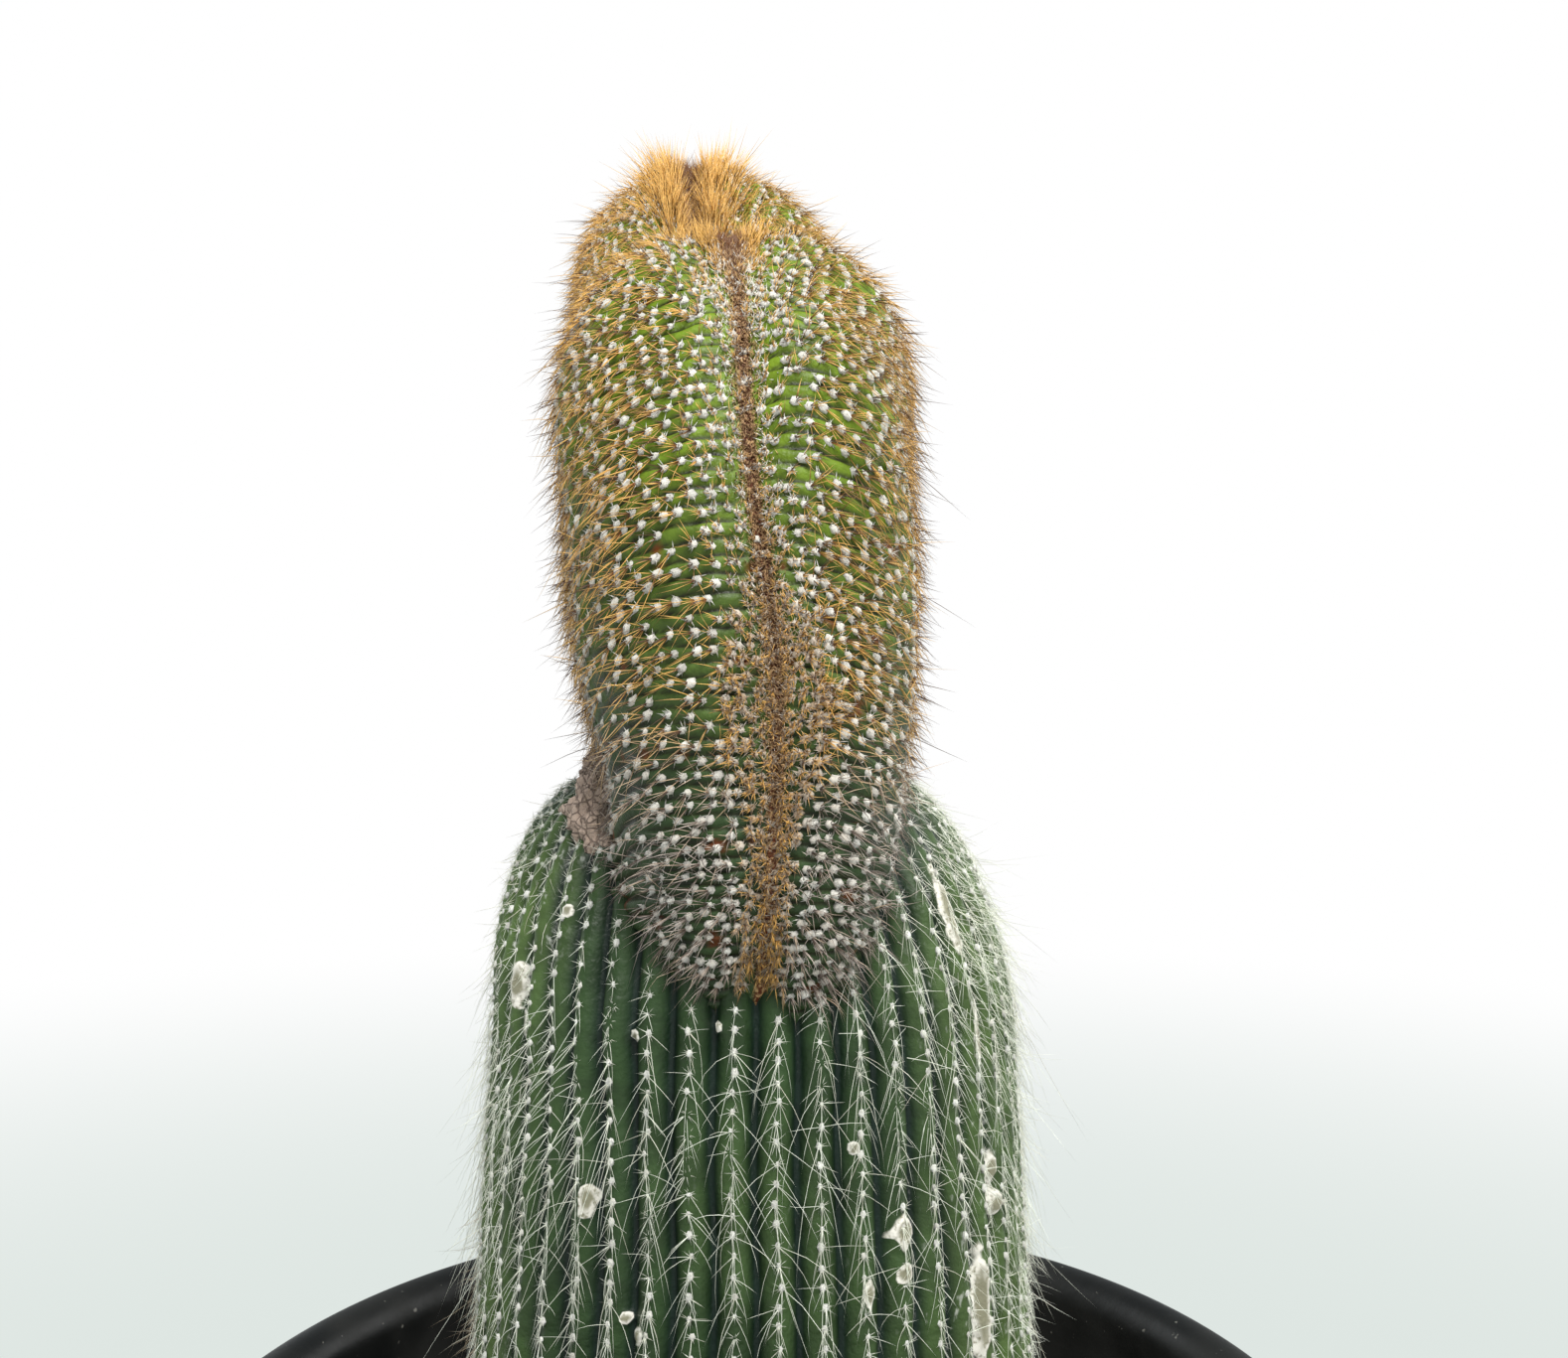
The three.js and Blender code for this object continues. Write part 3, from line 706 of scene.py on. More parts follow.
def remap(tree, value, low, high, to_low=0.0, to_high=1.0):
    """Smooth step of a value between two limits, to a range of its own."""
    node = new_node(tree, "ShaderNodeMapRange", {0: value, 1: low, 2: high, 3: to_low, 4: to_high},
                    interpolation_type="SMOOTHSTEP")
    return node.outputs[0]


def attribute(tree, name):
    """A number that the mesh keeps for each point."""
    return new_node(tree, "ShaderNodeAttribute", attribute_name=name).outputs["Fac"]


def noise(tree, size, detail, stretch=None):
    """Noise whose patches are about size metres, on object coordinates."""
    place = new_node(tree, "ShaderNodeTexCoord").outputs["Object"]
    if stretch:
        place = new_node(tree, "ShaderNodeMapping", {"Vector": place, "Scale": stretch}).outputs[0]
    inputs = {"Vector": place, "Scale": 1 / size, "Detail": detail}
    return new_node(tree, "ShaderNodeTexNoise", inputs).outputs[0]


def new_group(name, inputs, outputs):
    """An empty shader group with its sockets. Returns the group, its input node and its output node."""
    group = bpy.data.node_groups.new(name, "ShaderNodeTree")
    for label, kind, default in inputs:
        socket = group.interface.new_socket(label, in_out="INPUT", socket_type=kind)
        socket.default_value = default
    for label, kind in outputs:
        group.interface.new_socket(label, in_out="OUTPUT", socket_type=kind)
    return group, group.nodes.new("NodeGroupInput"), group.nodes.new("NodeGroupOutput")


def weathering_group():
    """Blotches, fine grain and pits on any surface. Mask is blotchy, Height is for a bump."""
    name = "weathering"
    if name in bpy.data.node_groups:
        return bpy.data.node_groups[name]
    group, source, sink = new_group(
        name, [("Size", "NodeSocketFloat", 0.01), ("Contrast", "NodeSocketFloat", 1.0)],
        [("Mask", "NodeSocketFloat"), ("Height", "NodeSocketFloat")])
    place = new_node(group, "ShaderNodeTexCoord").outputs["Object"]
    scale = maths(group, "DIVIDE", 1.0, source.outputs["Size"])
    broad = new_node(group, "ShaderNodeTexNoise", {"Vector": place, "Scale": scale, "Detail": 4.0})
    fine_scale = maths(group, "MULTIPLY", scale, 9.0)
    fine = new_node(group, "ShaderNodeTexNoise", {"Vector": place, "Scale": fine_scale, "Detail": 3.0})
    centred = maths(group, "SUBTRACT", broad.outputs[0], 0.5)
    centred = maths(group, "MULTIPLY", centred, source.outputs["Contrast"])
    mask = remap(group, maths(group, "ADD", centred, 0.5), 0.3, 0.7)
    height = maths(group, "ADD", maths(group, "MULTIPLY", broad.outputs[0], 0.4), fine.outputs[0])
    group.links.new(mask, sink.inputs["Mask"])
    group.links.new(height, sink.inputs["Height"])
    return group


def weathering(tree, size, contrast):
    """The weathering group in a material. Returns its mask and its height."""
    node = new_node(tree, "ShaderNodeGroup", node_tree=weathering_group())
    feed(tree, node.inputs["Size"], size)
    feed(tree, node.inputs["Contrast"], contrast)
    return node.outputs["Mask"], node.outputs["Height"]


def strand_tint_group():
    """Colour of a spine: its root's colour passes into its own, more so the higher its tone."""
    name = "strand tint"
    if name in bpy.data.node_groups:
        return bpy.data.node_groups[name]
    inputs = [("Root", "NodeSocketColor", (0.2, 0.1, 0.05, 1)),
              ("Shaft", "NodeSocketColor", (0.8, 0.6, 0.3, 1))]
    group, source, sink = new_group(name, inputs, [("Color", "NodeSocketColor")])
    along, tone = attribute(group, "along"), attribute(group, "tone")
    grown, pale = remap(group, along, 0.0, 0.45), remap(group, tone, 0.0, 0.4, 0.1, 1.0)
    share = maths(group, "MULTIPLY", grown, pale)
    body = blend(group, share, source.outputs["Root"], source.outputs["Shaft"])
    group.links.new(shaded(group, body, remap(group, tone, 0.0, 1.0, 0.65, 1.25)), sink.inputs["Color"])
    return group


def new_material(name):
    """An empty material with its shader, ready for inputs. Returns material, tree and shader."""
    material = bpy.data.materials.new(name)
    material.use_nodes = True
    tree = material.node_tree
    tree.nodes.clear()
    shader = tree.nodes.new("ShaderNodeBsdfPrincipled")
    output = tree.nodes.new("ShaderNodeOutputMaterial")
    tree.links.new(shader.outputs[0], output.inputs["Surface"])
    return material, tree, shader


def dress(tree, shader, colour_socket, roughness, height, depth, **constants):
    """Feeds a shader: colour, roughness as a number or socket, a bump of the given depth, and constants."""
    feed(tree, shader.inputs["Base Color"], colour_socket)
    feed(tree, shader.inputs["Roughness"], roughness)
    bump = new_node(tree, "ShaderNodeBump", {"Height": height, "Distance": depth, "Strength": 1.0})
    feed(tree, shader.inputs["Normal"], bump.outputs[0])
    for key, value in constants.items():
        shader.inputs[key.replace("_", " ")].default_value = value


# ---------------------------------------------------------------- materials

def pot_material():
    """Black satin plastic with dust and a few dried splashes."""
    pot = bpy.context.scene.cactus_pot
    material, tree, shader = new_material("pot plastic")
    mask, height = weathering(tree, 50 * MM, 1.2)
    specks = remap(tree, noise(tree, 3.5 * MM, 2.0), 0.70, 0.76)
    film = maths(tree, "MULTIPLY", mask, 0.04)
    tint = blend(tree, film, pot.plastic, pot.dust)
    tint = blend(tree, maths(tree, "MULTIPLY", specks, 0.55), tint, pot.dust)
    rough = remap(tree, mask, 0.0, 1.0, 0.42, 0.60)
    dress(tree, shader, tint, rough, height, 0.25 * MM, Specular_IOR_Level=0.25)
    return material


def soil_material():
    """Damp dark crumbs with dry, light ones between them."""
    soil = bpy.context.scene.cactus_soil
    material, tree, shader = new_material("potting mix")
    mask, height = weathering(tree, 6 * MM, 2.0)
    crumbs = noise(tree, 2.2 * MM, 4.0)
    tint = blend(tree, remap(tree, crumbs, 0.42, 0.66), soil.dark, soil.light)
    tint = blend(tree, maths(tree, "MULTIPLY", mask, 0.6), tint, soil.dark)
    dress(tree, shader, tint, 0.95, maths(tree, "ADD", height, crumbs), 1.2 * MM)
    return material


def stone_material():
    """Pumice and grit, each bit of its own tone."""
    soil = bpy.context.scene.cactus_soil
    material, tree, shader = new_material("pumice")
    mask, height = weathering(tree, 1.5 * MM, 1.5)
    tint = blend(tree, attribute(tree, "tone"), soil.light, soil.pumice)
    tint = blend(tree, maths(tree, "MULTIPLY", mask, 0.35), tint, soil.dark)
    dress(tree, shader, tint, 0.9, height, 0.4 * MM)
    return material


SCAR_RIM = (0.78, 0.75, 0.68)
STRAND_GRAIN = 0.8 * MM
CRACKS_PER_METRE = 330.0


def stem_material():
    """Stem skin: dark blue-green furrows of painted shade, olive ribs, sides painted paler as side light, and
    corky scars.
    """
    stem = bpy.context.scene.cactus_stem
    material, tree, shader = new_material("stem skin")
    mask, height = weathering(tree, 14 * MM, 1.3)
    rib, scar, pale = attribute(tree, "rib"), attribute(tree, "scar"), attribute(tree, "pale")
    # The pale trait lightens the ribs on the sides: painted side light.
    ridge = blend(tree, pale, stem.ridge, stem.pale)
    # The furrows take the darker furrow colour: painted shade in the recesses between the ribs.
    tint = blend(tree, remap(tree, rib, 0.15, 0.9), stem.furrow, ridge)
    shade = remap(tree, mask, 0.0, 1.0, 0.78, 1.15)
    tint = shaded(tree, tint, shade)
    # White chalk flecks, set by the same mask as the painted side light.
    chalk = maths(tree, "MULTIPLY", remap(tree, noise(tree, 2.2 * MM, 5.0, (1, 1, 0.6)), 0.60, 0.75), 0.45)
    tint = blend(tree, maths(tree, "MULTIPLY", chalk, remap(tree, pale, 0.1, 0.9)), tint, stem.wool)
    edge = maths(tree, "SUBTRACT", 1.0, remap(tree, scar, 0.58, 0.80))
    edge = maths(tree, "MULTIPLY", edge, remap(tree, noise(tree, 1.6 * MM, 4.0), 0.3, 0.55))
    rings = blend(tree, edge, stem.scar, SCAR_RIM)
    tint = blend(tree, remap(tree, scar, 0.47, 0.54), tint, rings)
    rough = remap(tree, mask, 0.0, 1.0, 0.42, 0.60)
    dress(tree, shader, tint, rough, height, 0.35 * MM, Specular_IOR_Level=0.35)
    return material


def crest_material():
    """Crest skin: ribs yellow-green above and dull dark green below, partly the skin's age and partly painted
    light above and painted shade below; brown wool along the line.
    """
    crest = bpy.context.scene.cactus_crest
    material, tree, shader = new_material("crest skin")
    mask, height = weathering(tree, 9 * MM, 1.4)
    rib, young_and_lit, line, dry = (attribute(tree, key) for key in ("rib", "young_and_lit", "line", "dry"))
    # Lighter at the top and darker at the foot: partly age, partly painted light and shade.
    ridge = blend(tree, young_and_lit, crest.old, crest.young_and_lit)
    # The furrows take the darker furrow colour: painted shade between the ribs.
    tint = blend(tree, remap(tree, rib, 0.10, 0.85), crest.furrow, ridge)
    shade = remap(tree, mask, 0.0, 1.0, 0.72, 1.20)
    tint = shaded(tree, tint, shade)
    tint = blend(tree, maths(tree, "MULTIPLY", dry, 0.8), tint, crest.amber)
    felt = blend(tree, remap(tree, noise(tree, 1.2 * MM, 4.0), 0.45, 0.62), crest.line, crest.bronze)
    tint = blend(tree, remap(tree, line, 0.25, 0.75), tint, felt)
    rough = remap(tree, mask, 0.0, 1.0, 0.40, 0.58)
    dress(tree, shader, tint, rough, height, 0.3 * MM, Specular_IOR_Level=0.3)
    return material


def wool_material(name, white, old):
    """Felt of the areoles: white, or the old colour where the pad's age says so."""
    material, tree, shader = new_material(name)
    _, height = weathering(tree, 1.2 * MM, 1.5)
    tint = blend(tree, attribute(tree, "old"), white, old)
    shade = remap(tree, attribute(tree, "tone"), 0.0, 1.0, 0.80, 1.10)
    tint = shaded(tree, tint, shade)
    dress(tree, shader, tint, 0.9, height, 0.5 * MM, Sheen_Weight=0.6, Sheen_Roughness=0.5)
    return material


def strand_material(name, trait, roots, shafts, roughness):
    """Spines or hairs. Their root's and their shaft's colours each go from one to another with a trait."""
    material, tree, shader = new_material(name)
    share = attribute(tree, trait)
    inputs = {"Root": blend(tree, share, *roots), "Shaft": blend(tree, share, *shafts)}
    tint = new_node(tree, "ShaderNodeGroup", None, node_tree=strand_tint_group())
    for key, value in inputs.items():
        feed(tree, tint.inputs[key], value)
    dress(tree, shader, tint.outputs["Color"], roughness, noise(tree, STRAND_GRAIN, 2.0), 0.1 * MM)
    return material


def crest_spine_material():
    """Golden young spines with amber roots, and grey old ones with dark roots."""
    crest = bpy.context.scene.cactus_crest
    return strand_material("crest spines", "gold", (crest.bark, crest.amber), (crest.grey, crest.gold), 0.45)


def line_wool_material():
    """Short wool of the growing line: red-brown roots, bronze ends and some white hairs."""
    crest = bpy.context.scene.cactus_crest
    return strand_material("line wool", "old", (crest.wool, crest.line), (crest.wool, crest.bronze), 0.6)


def bristle_material():
    """Glassy white bristles, straw-coloured where they are old."""
    stem = bpy.context.scene.cactus_stem
    colours = (stem.bristle, stem.old_hair)
    return strand_material("bristles", "old", colours, colours, 0.4)


def cork_material():
    """Cracked pinkish bark."""
    crest = bpy.context.scene.cactus_crest
    material, tree, shader = new_material("cork")
    mask, height = weathering(tree, 4 * MM, 2.0)
    inputs = {"Vector": new_node(tree, "ShaderNodeTexCoord").outputs["Object"], "Scale": CRACKS_PER_METRE}
    cracks = new_node(tree, "ShaderNodeTexVoronoi", inputs, feature="DISTANCE_TO_EDGE")
    crack = remap(tree, cracks.outputs["Distance"], 0.0, 0.12, 0.25, 1.0)
    tint = blend(tree, crack, crest.bark, crest.cork)
    tint = blend(tree, maths(tree, "MULTIPLY", mask, 0.35), tint, crest.bark)
    dress(tree, shader, tint, 0.9, maths(tree, "ADD", height, crack), 0.8 * MM)
    return material


# ---------------------------------------------------------------- pot and potting mix

def arc(centre_r, centre_z, radius, start, end, steps):
    """Points on an arc in the r, z plane, between two angles in degrees."""
    turns = np.radians(np.linspace(start, end, steps))
    return np.column_stack([centre_r + radius * np.cos(turns), centre_z + radius * np.sin(turns)])


def evenly(profile, spacing):
    """The same outline with points added so that none lie further apart than the spacing."""
    parts = []
    for first, second in zip(profile[:-1], profile[1:]):
        steps = max(1, int(np.ceil(np.linalg.norm(second - first) / spacing)))
        parts.append(first + (second - first) * np.linspace(0, 1, steps, endpoint=False)[:, None])
    return np.concatenate(parts + [profile[-1:]])


def turned(profile, columns):
    """A closed body of revolution. The outline starts and ends next to the axis, underside first."""
    turns = np.arange(columns) * (FULL_TURN / columns)
    rings = np.stack([profile[:, 0, None] * np.cos(turns), profile[:, 0, None] * np.sin(turns),
                      np.repeat(profile[:, 1, None], columns, axis=1)], axis=-1)
    centres = [[0, 0, profile[0, 1]], [0, 0, profile[-1, 1]]]
    return np.concatenate([rings.reshape(-1, 3), centres]), capped_faces(len(profile), columns)


def pot_inside(z):
    """Inside radius of the pot's wall at a height."""
    pot = bpy.context.scene.cactus_pot
    top, bottom = pot.rim_radius - pot.lip_width, pot.base_radius - pot.wall
    return np.minimum(top, bottom + (top - bottom) * (z - pot.foot_height)
                      / (pot.height - pot.lip_height - pot.foot_height))


def cut_drains(piece):
    """Bores the drain holes through the floor with upright cutters."""
    pot = bpy.context.scene.cactus_pot
    turns = np.arange(pot.drain_count) * (FULL_TURN / pot.drain_count)
    centres = np.concatenate([[[0, 0]], pot.drain_circle * np.column_stack([np.cos(turns), np.sin(turns)])])
    low, high = 0.5 * pot.foot_height, pot.foot_height + 2 * pot.floor
    columns = 32
    tube = np.array([[pot.drain_radius, low], [pot.drain_radius, high]])
    one, faces = turned(tube, columns)
    shift = np.column_stack([centres, np.zeros(len(centres))])
    points = (one[None] + shift[:, None]).reshape(-1, 3)
    offsets = (np.arange(len(centres)) * len(one))[:, None, None]
    cutter = put_mesh("cutter", points, [(part[None] + offsets).reshape(-1, part.shape[1]) for part in faces])
    modifier = piece.modifiers.new("drains", "BOOLEAN")
    modifier.object = cutter
    modifier.operation = "DIFFERENCE"
    modifier.solver = "EXACT"
    cut = bpy.data.meshes.new_from_object(piece.evaluated_get(bpy.context.evaluated_depsgraph_get()))
    piece.modifiers.clear()
    piece.data = cut
    bpy.data.objects.remove(cutter)


class CACTUS_OT_pot(bpy.types.Operator):
    """Turn the pot: a tapered wall, a broad rolled lip, a foot ring and drain holes"""
    bl_idname = "cactus.pot"
    bl_label = "Pot"

    def execute(self, context):
        pot = context.scene.cactus_pot
        lip_under, lip_half = pot.height - pot.lip_height, pot.lip_width / 2
        lip_centre, inside_top = pot.rim_radius - lip_half, pot.rim_radius - pot.lip_width
        foot_in, curl, bottom = pot.base_radius - pot.foot_width, 3 * MM, pot.foot_height + pot.floor
        profile = evenly(np.concatenate([
            [[1 * MM, pot.foot_height], [foot_in, pot.foot_height], [foot_in, 0]],
            arc(pot.base_radius - 6 * MM, 6 * MM, 6 * MM, -90, 0, 6),
            [[inside_top + pot.wall, lip_under]],
            arc(pot.rim_radius - curl, lip_under + curl, curl, -90, 0, 6),
            arc(lip_centre, pot.height - lip_half, lip_half, 0, 180, 25),
            [[inside_top, lip_under], [pot_inside(bottom), bottom], [1 * MM, bottom]],
        ]), 14 * MM)
        points, faces = turned(profile, 224)
        turns = np.arctan2(points[:, 1], points[:, 0])
        on_wall = smoothstep(pot.foot_height + pot.floor, 60 * MM, points[:, 2])
        on_wall *= 1 - smoothstep(lip_under - 40 * MM, lip_under, points[:, 2])
        warp = 0.35 * MM * np.sin(2 * turns + 0.6) * on_wall
        points[:, :2] *= (1 + warp / np.maximum(np.hypot(points[:, 0], points[:, 1]), 1 * MM))[:, None]
        piece = put_mesh("pot_shell", points, faces)
        cut_drains(piece)
        finish_piece(piece, pot_material(), "pot")
        return {"FINISHED"}


def soil_height(points):
    """Height of the mix at x, y: a low mound towards the stem, lumps and crumbs."""
    scene = bpy.context.scene
    soil = scene.cactus_soil
    top = stem_heights()[1]
    radius = np.hypot(points[:, 0], points[:, 1])
    edge = pot_inside(np.array(top))
    flat = np.column_stack([points[:, :2], np.zeros(len(points))])
    inside = 1 - smoothstep(edge - 12 * MM, edge, radius)
    lumps = ripple(flat, 0.05, 51) * 1.1 * MM + ripple(flat, 0.009, 52) * 0.55 * soil.grain
    crumbs = ripple(flat, 0.0045, 53) * 0.35 * soil.grain
    mound = soil.mound * (1 - smoothstep(scene.cactus_stem.radius, edge, radius))
    return top - soil.mound + mound + (lumps + crumbs) * inside - 0.6 * MM


class CACTUS_OT_soil(bpy.types.Operator):
    """Fill the pot with crumbly potting mix and loose pumice and grit"""
    bl_idname = "cactus.soil"
    bl_label = "Potting mix"

    def execute(self, context):
        scene = context.scene
        pot, soil = scene.cactus_pot, scene.cactus_soil
        bottom = pot.foot_height + pot.floor + soil.gap
        edge_z = stem_heights()[1] - soil.mound
        wall_low, wall_high = pot_inside(np.array(bottom)) - soil.gap, pot_inside(np.array(edge_z)) - soil.gap
        inner = scene.cactus_stem.radius - 12 * MM
        radii = np.linspace(wall_high, inner, 58)[1:]
        profile = np.concatenate([
            evenly(np.array([[1 * MM, bottom], [wall_low, bottom], [wall_high, edge_z]]), 25 * MM),
            np.column_stack([radii, np.full(len(radii), edge_z + 1 * MM)]),
            [[inner * 0.5, edge_z + 1 * MM], [1 * MM, edge_z + 1 * MM]],
        ])
        points, faces = turned(profile, 420)
        top = points[:, 2] > edge_z + 0.5 * MM
        points[top, 2] = soil_height(points[top])
        piece = put_mesh("soil_surface", points, faces)
        finish_piece(piece, soil_material(), "soil")

        rng = np.random.default_rng(61)
        spread = np.sqrt(rng.uniform((inner + 14 * MM) ** 2, (wall_high - 4 * MM) ** 2, soil.stones))
        turns = rng.uniform(0, FULL_TURN, soil.stones)
        places = np.column_stack([spread * np.cos(turns), spread * np.sin(turns), np.zeros(soil.stones)])
        sizes = soil.stone_size * rng.lognormal(-0.1, 0.35, (soil.stones, 1))
        sizes = sizes * rng.uniform(0.7, 1.2, (soil.stones, 3))
        sizes = np.minimum(sizes, 2 * soil.stone_size)
        places[:, 2] = soil_height(places) + 0.25 * sizes[:, 2]
        first = unit(rng.normal(size=(soil.stones, 3)))
        second = unit(np.cross(first, rng.normal(size=(soil.stones, 3))))
        stones = put_pads("soil_stones", places, first, second, np.cross(first, second), sizes, 62,
                          {"tone": rng.uniform(0, 1, soil.stones)}, smooth=False)
        finish_piece(stones, stone_material(), "soil")
        return {"FINISHED"}


# ---------------------------------------------------------------- stem

# Old scars on the stem: degrees from the front, height over the pot's rim, half width, half height.
STEM_SCARS = [
    (-40.6, 185, 2.0, 2.4), (-31.5, 104, 2.6, 4.6), (30.0, 96, 4.2, 4.6), (-21.9, 152, 1.8, 1.8),
    (-5.1, 156, 1.5, 1.6), (30.1, 84, 3.2, 3.0), (58.1, 93, 3.0, 4.0), (-20.2, 69, 2.2, 2.6),
    (-22.9, 73, 1.8, 1.8), (53.2, 146, 2.2, 11.0), (50.6, 66, 3.4, 17.0), (51.7, 182, 2.4, 13.0),
    (14.8, 165, 2.6, 3.4), (22.4, 80, 1.8, 5.0), (-55.7, 160, 3.0, 6.0), (-51.4, 150, 2.4, 4.0),
    (20.0, 121, 1.6, 2.2), (57.1, 104, 2.0, 5.0),
]


POINTS_PER_RIB = 10
BURIED_LEVELS, OPEN_LEVELS = 9, 182
SOIL_OVERLAP = 12 * MM  # how deep the fine levels and the areoles reach into the mix
RIB_SEED = 41


class CACTUS_OT_stem(bpy.types.Operator):
    """Grow the ribbed stem with its furrows, areole bumps and scars"""
    bl_idname = "cactus.stem"
    bl_label = "Stem"

    def execute(self, context):
        stem = context.scene.cactus_stem
        foot, soil, _, top = stem_heights()
        columns = stem.ribs * POINTS_PER_RIB
        levels = np.concatenate([stem_levels(BURIED_LEVELS, foot, soil - SOIL_OVERLAP)[:-1],
                                 stem_levels(OPEN_LEVELS, soil - SOIL_OVERLAP, top)])
        z = np.repeat(levels, columns)
        around = np.tile(np.arange(columns) * (FULL_TURN / POINTS_PER_RIB), len(levels))
        point, _, _, outward = stem_frame(around / stem.ribs + stem.rib_turn, z)
        ridge = np.abs(np.cos(around / 2)) ** 0.8
        fade = smoothstep(soil - 32 * MM, soil - 8 * MM, z)
        fade *= 1 - 0.45 * smoothstep(top - 0.5 * stem.shoulder_drop, top, z)
        rib = np.round(around / FULL_TURN).astype(int) % stem.ribs
        phases = np.random.default_rng(RIB_SEED).uniform(0, 1, stem.ribs)
        runs = np.interp(z, *stem_runs())
        bump = 0.5 + 0.5 * np.cos(FULL_TURN * (runs / stem.areole_step - phases[rib]))
        relief = -stem.rib_depth * fade * (1 - ridge) + 0.45 * MM * bump * ridge ** 4 * fade
        relief = relief - 0.25 * MM * fade + 0.4 * MM * ripple(point, 30 * MM, 42) * fade
        scar = self.scars(point, levels)
        disc = smoothstep(0.45, 0.60, scar)
        relief = relief * (1 - 0.5 * disc) + 0.6 * MM * disc * (1 - 0.8 * smoothstep(0.75, 0.95, scar))
        point = point + outward * relief[:, None]
        centres = [[stem_lean(foot), 0, foot], [stem_lean(top), 0, top]]
        # The rib trait carries the fade, so near the soil and the stem's top the skin takes more of the
        # furrow's painted shade.
        traits = {key: np.append(values, [0, 0])
                  for key, values in (("rib", ridge * fade), ("scar", scar), ("pale", self.pale(point)))}
        faces = capped_faces(len(levels), columns)
        piece = put_mesh("stem_flesh", np.concatenate([point, centres]), faces, traits)
        finish_piece(piece, stem_material())
        return {"FINISHED"}

    def scars(self, point, levels):
        """1 in the middle of a scar, 0.5 at its edge and 0 well away from it."""
        z = point[:, 2]
        scar = np.zeros(len(z))
        for turn, height, half_width, half_height in scar_places(levels):
            across = np.arctan2(point[:, 1], point[:, 0] - stem_lean(z)) - turn
            across = (across + np.pi) % FULL_TURN - np.pi
            away = np.hypot(across * stem_radius(z) / half_width, (z - height) / half_height)
            away = away * (1 + 0.12 * ripple(point, 6 * MM, 43))
            scar = np.maximum(scar, 1 - 0.5 * away)
        return scar

    def pale(self, point):
        """Painted side light: how much paler the ribs are made, most on the right side, less on the left,
        least in front.
        """
        degrees = np.degrees(np.arctan2(point[:, 1], point[:, 0])) + 90
        right = smoothstep(20, 75, degrees) * (1 - smoothstep(120, 170, degrees))
        dusty = np.maximum(right, 0.75 * smoothstep(20, 70, -degrees))
        return np.clip(dusty + 0.25 * ripple(point, 90 * MM, 44), 0, 1)


def stem_runs():
    """Table of heights and distances run along the stem's outline up from the potting mix."""
    _, soil, _, top = stem_heights()
    z = np.linspace(soil - SOIL_OVERLAP, top, 3000)
    runs = np.hypot(np.diff(z), np.diff(stem_radius(z)))
    return z, np.append(0, np.cumsum(runs))


def scar_places(levels):
    """The chosen scars and some seeded ones on the sides and back, as angle, height and half sizes."""
    rim = bpy.context.scene.cactus_pot.height
    rng = np.random.default_rng(45)
    chosen = [(math.radians(turn - 90), rim + rise * MM, wide * MM, high * MM)
              for turn, rise, wide, high in STEM_SCARS]
    seeded = [(rng.uniform(-0.2, math.pi + 0.2), rng.uniform(levels[12], levels[-1] - 20 * MM),
               rng.uniform(1.2, 3.4) * MM, rng.uniform(1.4, 6.0) * MM) for _ in range(34)]
    return chosen + seeded


def stem_areoles():
    """Angle and height of each areole on the stem, clear of the crest, with the frames there."""
    stem = bpy.context.scene.cactus_stem
    z_table, run_table = stem_runs()
    rng = np.random.default_rng(46)
    phases = np.random.default_rng(RIB_SEED).uniform(0, 1, stem.ribs)
    rows = int(run_table[-1] / stem.areole_step)
    rib, row = (grid.ravel() for grid in np.meshgrid(np.arange(stem.ribs), np.arange(rows), indexing="ij"))
    runs = (row + phases[rib]) * stem.areole_step + rng.normal(0, 0.35, len(rib)) * MM
    keep = (runs > 8 * MM) & (runs < run_table[-1] - 3 * MM)
    rib, runs = rib[keep], runs[keep]
    z = np.interp(runs, run_table, z_table)
    turn = rib * (FULL_TURN / stem.ribs) + stem.rib_turn + rng.normal(0, 0.003, len(rib))
    frames = stem_frame(turn, z)
    clear = ~inside_crest(frames[0], -1.5 * MM)
    return turn[clear], z[clear], [axis[clear] for axis in frames]


# Combed bristles lie to one side in a patch: degrees from the front and height under the stem's top,
# each with its spread, then the degrees that they lean and the share of bristles that do.
COMBED_PLACE, COMBED_SPREAD = (-42, -88 * MM), (15, 30 * MM)
COMBED_LEAN, COMBED_SHARE = (48, 16), 0.8
BARE_FROM, BARE_TO = -85 * MM, -50 * MM  # heights under the stem's top where the left side thins out
BRISTLE_RADII = (0.075 * MM, 0.11 * MM)
LONGEST_BRISTLE = 38
STEM_PAD = np.array([0.95, 1.2, 0.8]) * MM

# Patches of hair: degrees from the front and their spread, height over the rim and its spread in mm,
# strands, mean length in mm, and age.
HAIR_PATCHES = [
    (-84, 9, 12, 26, 1000, 8.5, 0.95),
    (64, 13, 178, 20, 300, 13, 0.15),
    (78, 10, 110, 55, 160, 11, 0.1),
    (-76, 11, 130, 45, 110, 10, 0.3),
    (150, 40, 120, 60, 200, 10, 0.3),
    (-62, 12, 196, 12, 50, 8, 0.45),
]


